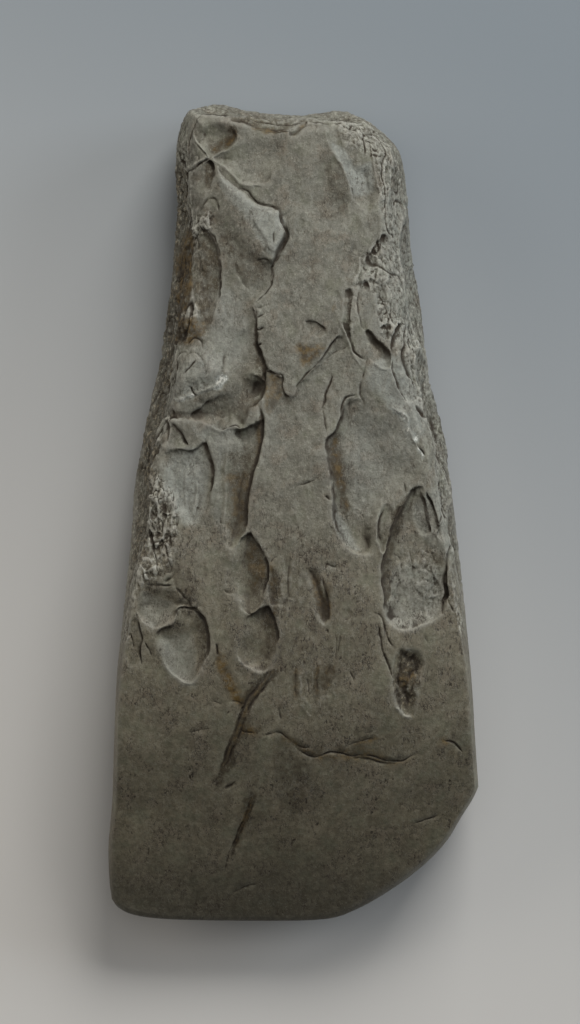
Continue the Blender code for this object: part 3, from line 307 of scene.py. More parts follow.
# Cracks and grooves on the face: half width, depth, points along the middle
CRACKS = (
    (0.23, 0.51, ((-8.6, 44.7), (-7.2, 44.3), (-5.4, 44.9))),
    (0.2, 0.42, ((-8, 42), (-7.2, 42.4), (-6.2, 43))),
    (0.22, 0.51, ((-8.3, 39.9), (-7.3, 39.4), (-6.2, 40.1))),
    (0.19, 0.42, ((-8.1, 36.4), (-7.5, 36), (-6.7, 36.3))),
    (0.22, 0.42, ((-8.4, 45.2), (-8, 43), (-8.1, 40.6))),
    (0.25, 0.42, ((-20, 66), (-19.3, 67.4), (-18.5, 68.3), (-17.3, 68.2), (-16.6, 67), (-16.3, 65.4))),
    (0.22, 0.34, ((-20.9, 65), (-20, 66.2), (-19.4, 66.6))),
    (0.34, 0.5, ((-18.4, 76.8), (-18, 75.6), (-17.7, 74.2))),
    (0.22, 0.42, ((-24.6, 74.2), (-22, 75), (-19, 76.6), (-17.8, 77.3))),
    (0.2, 0.34, ((-21.6, 81), (-20.2, 79), (-18.4, 77.1))),
    (0.22, 0.28, ((-13.8, 85.8), (-10, 84.7), (-8, 83.8), (-4, 83.3), (-1, 83.5))),
    (0.18, 0.28, ((-8.4, 83.5), (-5.5, 82.9), (-2, 83), (0, 83.4))),
    (0.18, 0.34, ((-10.5, 85.8), (-6, 84.8), (-2, 84.3), (2.2, 84.5))),
    (0.2, 0.28, ((-15.4, 88.4), (-12, 87.6), (-8, 87.4), (-4, 86.8), (-1, 86.6))),
    (0.18, 0.26, ((3.4, 84.8), (7, 84.8), (11.2, 84.6))),
    (0.26, 0.59, ((-3.3, 65.4), (-2.7, 63.4), (-1.3, 60.7), (-1.8, 58.6), (-3.2, 55.6), (-4.8, 53))),
    (0.2, 0.34, ((-12.2, 70.4), (-10.2, 69.8), (-9, 68.6), (-7.6, 67.2), (-5.6, 66.6), (-3, 65.9))),
    (0.18, 0.34, ((-6.6, 57), (-5.6, 56.2), (-4.9, 55.4))),
    (0.18, 0.26, ((-8.2, 54.3), (-6.4, 54.8), (-5.2, 54.3))),
    (0.18, 0.26, ((-4.4, 61), (-4.2, 59.6), (-4.1, 58.2))),
    (0.23, 0.51, ((-19.2, 62.4), (-18.3, 60.6), (-17, 58.8), (-16.1, 55), (-15.8, 50.5), (-16.2, 45.6))),
    (0.25, 0.51, ((-4.2, 52.6), (-4.8, 50), (-6.2, 47.6), (-8.3, 45.3))),
    (0.42, 0.85, ((-8, 41), (-8, 38), (-7.6, 34.4), (-6.3, 31.8), (-6.2, 29.5), (-6.6, 26.2), (-7.8, 24.2),
        (-9.4, 22.8))),
    (0.42, 0.75, ((-7.8, 24.2), (-7, 21), (-6.8, 18), (-7.4, 14.6), (-8.2, 11), (-9.2, 8.4), (-9.7, 5),
        (-10, 1), (-10.2, -3))),
    (0.2, 0.42, ((-6.3, 30.6), (-4, 29.8), (-2.4, 29.2), (-2.5, 27), (-1.7, 25.1), (-0.2, 25))),
    (0.2, 0.42, ((-0.3, 25.3), (1.5, 28), (3, 30), (5.2, 32.2), (7, 34.3), (9.6, 37.9))),
    (0.17, 0.26, ((2.5, 41.4), (4.5, 41.3), (6.9, 39.6))),
    (0.22, 0.42, ((7.8, 30.2), (8.3, 29.2), (8, 28), (7.2, 26.4), (6.8, 24.4), (6.2, 22.6))),
    (0.17, 0.26, ((6.2, 22.5), (6.7, 19.5), (7.7, 16.2))),
    (0.22, 0.42, ((15.9, 33), (15.2, 30.5), (14.6, 28), (14.4, 26.4), (14.8, 24.6), (15.4, 22.8))),
    (0.23, 0.51, ((13.5, 25.2), (11.4, 24.6), (10.4, 22.4), (9.9, 19.6), (9, 17), (7, 15.4))),
    (0.2, 0.34, ((11, 41.2), (12, 38), (12.8, 35.4), (14, 33.6), (15.8, 32.6))),
    (0.18, 0.34, ((13.8, 46.4), (14.4, 42.4), (14.8, 39.8))),
    (0.17, 0.26, ((7, 33), (9, 34.6), (11.6, 35.6))),
    (0.4, 0.7, ((22.9, 40.6), (22, 38), (21.3, 35.2))),
    (0.2, 0.42, ((21.6, 33), (21.6, 30.4), (22.3, 28), (23.3, 26), (24.7, 24.3))),
    (0.4, 0.7, ((25.2, 40.3), (24.4, 38), (23.9, 35), (23.8, 32.4), (24.5, 30.4), (26, 27.8))),
    (0.25, 0.51, ((28.4, 29.6), (29.3, 27), (29.8, 25.2), (31.2, 24.2))),
    (0.42, 0.6, ((26.8, 22.7), (28, 21.2), (29.3, 20.4))),
    (0.18, 0.34, ((26.6, 14.8), (27.6, 13.4), (28.6, 12.3))),
    (0.33, 0.6, ((-26.8, 19.4), (-24.8, 17.2), (-23.2, 14.4))),
    (0.18, 0.34, ((-28.2, 21.9), (-26.9, 20.9), (-27.2, 19.6))),
    (0.22, 0.45, ((-27.8, 19.8), (-27.1, 18), (-27.5, 15))),
    (0.38, 0.7, ((-19.3, 15.6), (-18.6, 12.8), (-17.6, 9.4), (-17.5, 7), (-17.9, 4.6))),
    (0.17, 0.34, ((-18, 24.4), (-20, 22.6), (-22, 21.6), (-21.8, 20.3))),
    (0.2, 0.42, ((-16, 17.8), (-14.2, 18.2), (-12.4, 18.7), (-11, 18))),
    (0.2, 0.42, ((-9.6, 22.8), (-8.6, 23.6), (-7.6, 24.4))),
    (0.18, 0.42, ((-23.4, 36.4), (-21.6, 37.6), (-20, 37), (-19.6, 35.4))),
    (0.18, 0.34, ((-21.2, 33), (-22.6, 31.2), (-24.2, 29.8))),
    (0.22, 0.42, ((-25.4, 33), (-25.4, 31), (-26.4, 29.4), (-27.8, 27.2))),
    (0.17, 0.34, ((-22, 27), (-21.6, 26), (-21, 25.2))),
    (0.22, 0.42, ((-25.3, -12.4), (-26.4, -13.8), (-28.2, -15.2))),
    (0.18, 0.42, ((-31.6, -15.6), (-29, -15.8), (-26.3, -15.7))),
    (0.25, 0.51, ((-25.4, -16.4), (-24.2, -17.2), (-23.2, -18.8), (-22, -20))),
    (0.2, 0.42, ((-25, -22.4), (-25.4, -21.2), (-24, -20.7), (-22, -20.9), (-20, -20.3))),
    (0.4, 0.7, ((-21.2, -21.2), (-19.6, -22.8), (-18.7, -25.2), (-18.4, -28), (-18.8, -31))),
    (0.25, 0.51, ((-6.6, -8.6), (-5.8, -10.8), (-5.6, -13.4), (-6, -15.6), (-6.6, -17.4))),
    (0.18, 0.34, ((-5.4, -6.4), (-5.6, -7.6), (-6, -8.6))),
    (0.17, 0.26, ((-5, -11), (-4.2, -9.8), (-3.2, -9.6))),
    (0.25, 0.51, ((-5.6, -20.2), (-4.9, -22), (-4, -24), (-3.5, -26), (-3.6, -28))),
    (0.18, 0.34, ((-15, -16.8), (-14.2, -17.6), (-12.8, -17.3))),
    (0.17, 0.26, ((-10.2, -21), (-9, -22.2), (-10.6, -21.2))),
    (0.2, 0.42, ((-16.6, -28.4), (-16.4, -31))),
    (0.23, 0.51, ((-34, -22), (-33.6, -25), (-32.8, -27), (-33.4, -30), (-33, -33))),
    (0.18, 0.42, ((-32.2, -28), (-31.2, -29.8), (-30.6, -31.4))),
    (0.17, 0.34, ((-35.4, -26), (-34.4, -29.4))),
    (0.18, 0.26, ((0.4, 5.3), (2, 6), (4, 6.6), (5.2, 7.6))),
    (0.17, 0.26, ((11.2, -1.2), (12.6, -0.4), (13.8, 0.8))),
    (0.17, 0.26, ((14.5, 2.8), (15.3, 4.1))),
    (0.2, 0.34, ((6.8, 3.5), (7.9, 2.7))),
    (0.23, 0.51, ((26.2, 5.2), (24.8, 4), (23.2, 1.4), (21.9, -1.8), (20.8, -6), (19.4, -10.4),
        (19.1, -14.4), (19.6, -19), (19.8, -21.6))),
    (0.18, 0.42, ((24.3, 6.4), (24.2, 5), (24.5, 3.9))),
    (0.22, 0.42, ((27.8, 3.9), (28.5, 1.6), (29.3, -1), (29.7, -4.4))),
    (0.2, 0.42, ((28.9, 3.9), (30, 1.2), (31, -1.4), (31.7, -3.4))),
    (0.22, 0.51, ((32.6, 0.4), (31.8, -2.4), (31.2, -5))),
    (0.4, 0.7, ((34.4, -6.4), (33.5, -9.2), (33.2, -12), (32.6, -15), (33.2, -17.4), (32.4, -19.6),
        (32.3, -22))),
    (0.22, 0.42, ((33.4, -18.6), (34.4, -20.8), (35.2, -22.2))),
    (0.22, 0.42, ((19.7, 0.6), (18.8, -1.4), (18.6, -4), (19, -6.6))),
    (0.22, 0.42, ((6.2, -13.8), (7, -16.8), (7.6, -20), (7.7, -23))),
    (0.18, 0.34, ((17.2, -21.6), (18.6, -22), (19.6, -23.6), (20.1, -25.6), (20.9, -27.8), (22.1, -29.6))),
    (0.22, 0.42, ((18.5, -23.8), (19, -27), (19.1, -29.6), (20, -31.8), (20.8, -34), (21.5, -36.2))),
    (0.18, 0.34, ((11, -23.4), (12.2, -23), (12.9, -22.3))),
    (0.22, 0.34, ((7, -12.4), (7.4, -11.2), (8.6, -11.8), (9.4, -11.2))),
    (0.22, 0.34, ((7.4, -25.2), (7.6, -26))),
    (0.17, 0.21, ((9, -25.4), (9.3, -28.6), (9, -32.2))),
    (0.17, 0.21, ((10.1, -26.4), (9.6, -30.6))),
    (0.17, 0.26, ((12.2, -34.4), (13.2, -36.6))),
    (0.17, 0.26, ((28.4, -27), (29.4, -28.4))),
    (0.17, 0.2, ((0.7, -33.8), (0.4, -36.6), (0.6, -40))),
    (0.15, 0.16, ((2.6, -35.2), (3.1, -38), (2.8, -40.8))),
    (0.18, 0.2, ((5.4, -33.8), (5, -36.4), (5.2, -39.2))),
    (0.16, 0.18, ((7.9, -33.2), (7.2, -35.4), (7.4, -37.6))),
    (0.15, 0.14, ((-2.8, -40.4), (-3.2, -42.4), (-2.7, -44.8))),
    (0.15, 0.14, ((1.2, -40.6), (2.2, -42.4), (3.8, -44.2))),
    (0.3, 0.35, ((-5.3, -34.8), (-7.9, -38.2), (-10.2, -41.2), (-11.9, -45.2), (-13.1, -48.8),
        (-14.8, -52.8), (-16, -55.4), (-16.4, -58))),
    (0.26, 0.3, ((-4.4, -35.2), (-6.8, -38.6), (-9.1, -41.7), (-10.8, -45.6), (-12.1, -49.2), (-14, -53.2),
        (-15.4, -55.8), (-16.1, -58.2))),
    (0.18, 0.34, ((-5.2, -36.2), (-7, -39), (-9.4, -42.2), (-10.6, -45))),
    (0.18, 0.26, ((-12.2, -47), (-10.4, -47.6), (-8.7, -47.8))),
    (0.4, 0.3, ((-14.9, -60.2), (-13.6, -59.6), (-12.6, -58.6))),
    (0.24, 0.28, ((-9, -62), (-10.1, -65.4), (-11.5, -68.4), (-12.9, -71.8), (-14.1, -74.2))),
    (0.22, 0.22, ((-8.3, -62.2), (-9.3, -65.2), (-10.6, -67.8), (-12, -71.2), (-13.7, -74.4))),
    (0.22, 0.13, ((-14, -74.2), (-15.4, -79.2))),
    (0.18, 0.32, ((-6.8, -48.4), (-5, -48), (-3, -48), (-1.4, -49), (0.6, -50.4), (2, -51), (3.8, -50.6))),
    (0.2, 0.42, ((23.2, -31.6), (22.7, -35), (23.2, -38.6))),
    (0.22, 0.42, ((25.4, -31.2), (24.7, -34.2), (25, -37.4))),
    (0.18, 0.36, ((27, -33), (26.2, -36.6), (25.2, -39.8))),
    (0.16, 0.3, ((24, -39), (24.4, -41.2))),
    (0.19, 0.36, ((-0.6, -50), (1.6, -51.9), (4, -53), (6, -52.9), (8, -52.2), (10, -52.5), (12, -53),
        (14.6, -52.9), (17.2, -53.2), (20, -54.1), (23.8, -54), (25.6, -53), (27, -52.7))),
    (0.17, 0.3, ((13, -53.4), (15.6, -53.6), (19, -54.6), (22, -54.7))),
    (0.17, 0.21, ((11, -50.6), (14.2, -49.8), (17.6, -49))),
    (0.17, 0.17, ((13.8, -47.6), (17, -47.6), (18.6, -46))),
    (0.24, 0.42, ((32.6, -49.5), (34.6, -50), (36, -51), (36.8, -52))),
    (0.18, 0.21, ((26, -68), (29, -67.3), (31.6, -66.4))),
    (0.17, 0.17, ((-14, -84.2), (-11, -82.6), (-8, -81.4))),
    (0.17, 0.17, ((-23, -47.8), (-21, -47.2), (-17.8, -46.8))),
    (0.18, 0.21, ((-17.6, -41), (-15.5, -41.7))),
    (0.17, 0.17, ((-13.5, -40.8), (-11.8, -41.2), (-10.4, -42))),
    (0.17, 0.17, ((-15, -44.2), (-14, -42.8))),
    (0.22, 0.17, ((-3, -42), (-2.6, -45))),
    (0.22, 0.26, ((-23.2, -51), (-23, -51.6))),
    (0.18, 0.26, ((-22.5, -55.7), (-22.6, -56))),
    (0.18, 0.26, ((-22.7, -57.2), (-22.6, -58.2))),
)
# Share of a crack over which its ends thin out, and the half width up to which its depth wanders in full
CRACK_TAPER = 0.16
EVEN_CRACK = 0.22

# Thin raised rims that catch the light: half width, height, points along the middle
RIMS = (
    (0.32, 0.28, ((-17.2, 76.2), (-15, 74.8), (-12.8, 72.6), (-11.4, 71.2), (-9, 70.8), (-6.6, 71.6))),
    (0.28, 0.28, ((-24.4, 75.2), (-21.6, 76), (-18.4, 77.6), (-15.6, 78.4), (-13, 80))),
    (0.32, 0.24, ((7.2, 83.6), (7, 81.4), (8.2, 79), (9.9, 76.2), (11.4, 73), (13, 69.6))),
    (0.28, 0.24, ((17.4, 79), (17.6, 76), (18.1, 72), (18.8, 68.6))),
    (0.36, 0.32, ((-28, 24.4), (-24.6, 24.6), (-21.4, 25.6), (-17.6, 27.2), (-14.4, 28.6))),
    (0.28, 0.28, ((9.9, 41.6), (11, 39.4), (11.8, 36.8), (12.6, 34.6), (13.6, 32.8), (14.8, 31.1))),
    (0.28, 0.28, ((16, 33.2), (18, 31.6), (19.6, 31), (21, 31.4))),
    (0.36, 0.36, ((21, 22.9), (23, 21.9), (24.9, 20.7), (25, 18), (26, 15.6), (27.2, 13.8))),
    (0.28, 0.24, ((-14.4, 13.6), (-14.7, 8), (-14.8, 3), (-15.1, -1), (-15.4, -4))),
    (0.28, 0.24, ((-10.9, -4.6), (-12, -6.9), (-13.6, -8))),
    (0.32, 0.14, ((8.2, 5), (8.6, 1), (8.4, -1.2), (9.2, -4), (11, -7), (14, -9.2), (16.6, -8.8))),
    (0.2, 0.2, ((-21.3, 7), (-20.8, 4), (-21.3, 1), (-22, -1.8))),
    (0.2, 0.18, ((-20.2, 4.4), (-21, 0.4), (-21.8, -2.6))),
    (0.2, 0.18, ((-17.6, 5), (-18.8, 1.2), (-19.6, -1.2))),
    (0.2, 0.16, ((-23.2, 9), (-23.6, 5), (-23, 1))),
    (0.32, 0.32, ((-30.4, 1.8), (-31, 0), (-30.8, -2), (-29.8, -3.6), (-28.6, -4.9))),
    (0.28, 0.28, ((-28.6, 0.2), (-27.4, -0.4), (-26.4, -0.2))),
    (0.28, 0.2, ((-6, -17.6), (-7.4, -20.2), (-9.4, -22.2))),
    (0.32, 0.14, ((-28.2, -31.8), (-26, -35.4), (-23.2, -36.9), (-21, -36.2), (-19.7, -33.8))),
    (0.28, 0.14, ((-4.4, -33.6), (-7.4, -35), (-10.6, -33.2), (-12.2, -31))),
    (0.28, 0.24, ((18, -2), (18, -6.2), (19.3, -9.2), (20.2, -7.4))),
    (0.24, 0.14, ((21.8, -41.8), (23.4, -44.2), (25.6, -44.6))),
    (0.2, 0.16, ((1.4, -41), (2.4, -42.8), (3.6, -44.6))),
    (0.18, 0.12, ((1.3, -35), (1.6, -37.4), (1.3, -40))),
    (0.18, 0.12, ((3.9, -34.4), (4.1, -36.5), (3.6, -38.8))),
    (0.18, 0.1, ((6.5, -34), (6.2, -36.2), (6.6, -38.4))),
)

# Places on the face that were hammered rough: strength, then the outline as for the scars
ROUGH_PLACES = (
    (1, ((9.5, 86, 3), (20, 85, 3), (26, 76, 3), (28, 60, 3), (30, 42, 3), (26, 38, 3), (21, 36.5, 1.5),
        (18.2, 40, 1.2), (17.4, 47.4, 1.2), (11.9, 48.6, 1.2), (13.8, 54.4, 1.2), (17.2, 58.8, 1.2),
        (19.8, 63.2, 1.5), (17.8, 67.8, 1.5), (17.6, 76, 2), (11, 79, 3))),
    (1.25, ((-27, 88, 3), (-23.6, 84, 2), (-22.6, 76, 2), (-20.5, 66, 2), (-17, 66, 1), (-17.8, 61, 2),
        (-22, 57.5, 2), (-22, 49, 1.5), (-20.4, 43, 2), (-22, 37, 2), (-26, 33.5, 2), (-28.8, 27, 1.5),
        (-28.8, 14, 1.5), (-29.8, 10, 1.5), (-26, 6, 2), (-24.5, -2, 2), (-26, -12, 2), (-31, -15, 1.5),
        (-35, -21, 1.5), (-35.6, -27, 2), (-38.5, -29, 2), (-38.5, -10, 3), (-32, 30, 3))),
    (0.55, ((-26.5, 34.5, 2), (-21, 38.5, 2), (-15, 34.5, 2), (-13.6, 30.4, 2), (-17.6, 27.4, 1),
        (-23, 25.2, 1), (-28.6, 24.8, 1), (-29, 29, 2))),
    (0.9, ((30.5, 22, 2), (31.5, 8, 1.5), (33, 2, 1.5), (33.5, -10, 1.5), (34.5, -24, 2), (38.5, -26, 3),
        (37, -5, 3), (35, 15, 3))),
    (0.4, ((-27, 12, 2), (-19.8, 13.6, 1.5), (-18.6, 6, 1.5), (-19.6, -1, 2), (-24, -1.5, 3))),
    (0.7, ((21, -8, 4), (26, -7, 4), (32, -8, 3), (33, -20, 3), (28, -25, 2), (21, -24, 2),
        (19.6, -16, 2))),
    (0.7, ((10.6, 50, 2), (14, 52, 2), (14, 40, 1.5), (12.4, 36, 1.5), (10.6, 41, 1.5))),
    (0.85, ((22, -30, 2), (28, -31, 2), (27.5, -40, 2), (25, -45, 2), (22, -43, 1.5))),
    (0.28, ((-4.5, -55, 2), (0, -54.5, 2), (4.5, -58.5, 2), (4, -65, 2.5), (0, -66, 2.5),
        (-4.5, -62, 2.5))),
    (0.5, ((-1, -33, 3), (9, -32, 3), (11, -38, 3), (6, -43, 3), (-1, -41, 3))),
    (0.35, ((-6, -10, 3), (3, -12, 3), (4.5, -26, 4), (-2.5, -28, 3))),
    (0.35, ((-14, 85, 3), (-14, 90.5, 1), (14, 89.5, 1), (12, 84.6, 2), (0, 83, 2))),
)

# Rust on the face: strength, then the outline as for the scars
RUST_PLACES = (
    (1, ((-17, -31, 1), (-16, -30.6, 1), (-13.6, -35, 1.6), (-11, -39.6, 1.6), (-10.8, -42.4, 1.6),
        (-12.6, -41.8, 1.6), (-15.6, -37.6, 1.6))),
    (0.85, ((0.4, 36.2, 1.5), (3.6, 36.6, 1.5), (6.8, 35.4, 1.5), (5, 33, 1.5), (2.2, 31.4, 1.5),
        (0.6, 33.4, 1.5))),
    (0.7, ((12.6, -52.4, 0.6), (18.4, -52.6, 0.6), (22.4, -54, 0.6), (18, -54.4, 0.6), (12.8, -53.8, 0.6))),
    (0.6, ((13.6, -49.9, 0.5), (17.8, -48.6, 0.5), (17.6, -49.6, 0.5), (14, -50.4, 0.5))),
    (0.8, ((-9.2, -64, 0.8), (-10, -67.4, 0.8), (-12, -68.4, 0.8), (-10.6, -65.4, 0.8))),
    (0.7, ((22.4, -34.6, 1.5), (26.6, -33.8, 1.5), (26.2, -37.6, 1.5), (23.4, -38.6, 1.5))),
    (0.7, ((5.8, -34, 1), (9, -33, 1), (8.6, -36.6, 1), (7, -39.4, 1), (5.6, -37, 1))),
    (0.8, ((9, 14, 0.8), (10.6, 12, 0.8), (11, 6, 1), (12.6, 1.6, 1), (11, 1, 1), (9.4, 6, 0.8),
        (8.8, 10.6, 0.8))),
    (0.4, ((-14.6, 8, 1.5), (-9.8, 8, 1), (-10.2, -3, 1), (-12.6, -6.4, 1), (-14.6, -2, 1.5))),
    (0.45, ((-9.6, -6.6, 1), (-7, -8.6, 1), (-6, -13, 1), (-7.4, -17.6, 1), (-9.6, -16, 1.5),
        (-10, -10, 1.5))),
    (0.8, ((-24.6, 62, 1), (-22.2, 60, 1), (-21.8, 52, 1), (-22.6, 44, 1), (-26, 42, 1), (-26.4, 52, 1))),
    (0.8, ((-26, 41.6, 2), (-20, 42.4, 2), (-18.6, 39, 2), (-22, 36, 2), (-27, 36.6, 2))),
    (0.6, ((-9.4, 83.9, 0.6), (-3, 83.6, 0.6), (-0.6, 83, 0.6), (-5, 82.4, 0.6), (-8.8, 83, 0.6))),
    (0.6, ((-6.4, 30, 1), (-3, 29.2, 1), (-2.4, 25, 1), (-5.6, 20.6, 1.5), (-6.8, 25, 1))),
    (0.6, ((3.6, -14, 1), (6, -15.6, 1), (7.4, -20, 0.8), (6.6, -23.4, 1), (4.4, -19.4, 1))),
    (0.9, ((-17.6, 78.2, 1), (-15, 79.2, 1), (-12.8, 81.2, 0.8), (-12.6, 83.4, 0.8), (-14.4, 82.8, 1.5),
        (-17, 80.6, 1.5))),
    (0.7, ((-0.6, 82.2, 0.6), (0.6, 82.2, 0.6), (2.8, 84.4, 0.6), (1.6, 84.2, 0.8))),
    (0.6, ((8, 44.8, 1), (9.2, 44.6, 1), (8.8, 43, 1), (7.8, 43.4, 1))),
    (1, ((-14.6, -36.4, 1), (-13, -36, 1), (-10.4, -40.6, 1), (-11.4, -42.6, 1), (-13.6, -40.4, 1))),
    (0.9, ((-11, -46.6, 0.7), (-9, -46.9, 0.7), (-9.4, -48.6, 0.7), (-11.8, -48.2, 0.7))),
    (0.6, ((-4, -48.6, 0.7), (0, -49, 0.7), (6.6, -52.4, 0.8), (13, -53.6, 0.8), (12, -54.6, 0.7),
        (4.6, -53.2, 0.7), (-1, -50.2, 0.7))),
)
# Rust that follows cracks and scratches: half width, strength, points
RUST_LINES = (
    (0.9, 1, ((-16.6, -29.6), (-14.8, -34), (-12.6, -38.6), (-10.9, -42.4))),
    (0.5, 0.9, ((-12.6, -45.6), (-9.6, -47.2), (-7.2, -47.8))),
    (0.5, 0.8, ((-4.6, -47.8), (-1, -49), (2.2, -51.6), (6, -53.4), (10.6, -53), (16, -53.4), (21.6, -54.6),
        (25.6, -53.6))),
    (0.45, 0.8, ((12.8, -50.6), (16, -49.6), (18.6, -48.8))),
    (0.4, 0.7, ((9, -52.4), (13, -51.4), (17.4, -51))),
    (0.5, 0.8, ((30.6, -49.2), (33.4, -50.2), (35.6, -52.6))),
    (0.6, 0.9, ((-9, -62.4), (-10.8, -67.4), (-12.8, -73))),
    (0.6, 0.7, ((0.6, -33.4), (0.3, -36.6), (0.6, -40.6))),
    (0.7, 0.8, ((5.4, -33.2), (4.9, -36.4), (5.2, -40))),
    (0.5, 0.7, ((8, -32.6), (7.2, -35.4), (7.4, -38.4))),
    (0.5, 0.45, ((-5, -34.8), (-9.4, -41), (-12.2, -48), (-16, -57))),
    (0.7, 0.8, ((7, -14), (7.4, -18), (7.7, -23.2))),
    (0.5, 0.5, ((-5, -9), (-4.6, -14), (-4.4, -20), (-3.8, -26))),
    (0.6, 0.7, ((9.4, 17), (8.6, 12), (9.8, 6), (11.4, 1))),
    (0.45, 0.5, ((-7.4, 20), (-7.8, 13), (-9.8, 5), (-10.2, -3))),
)
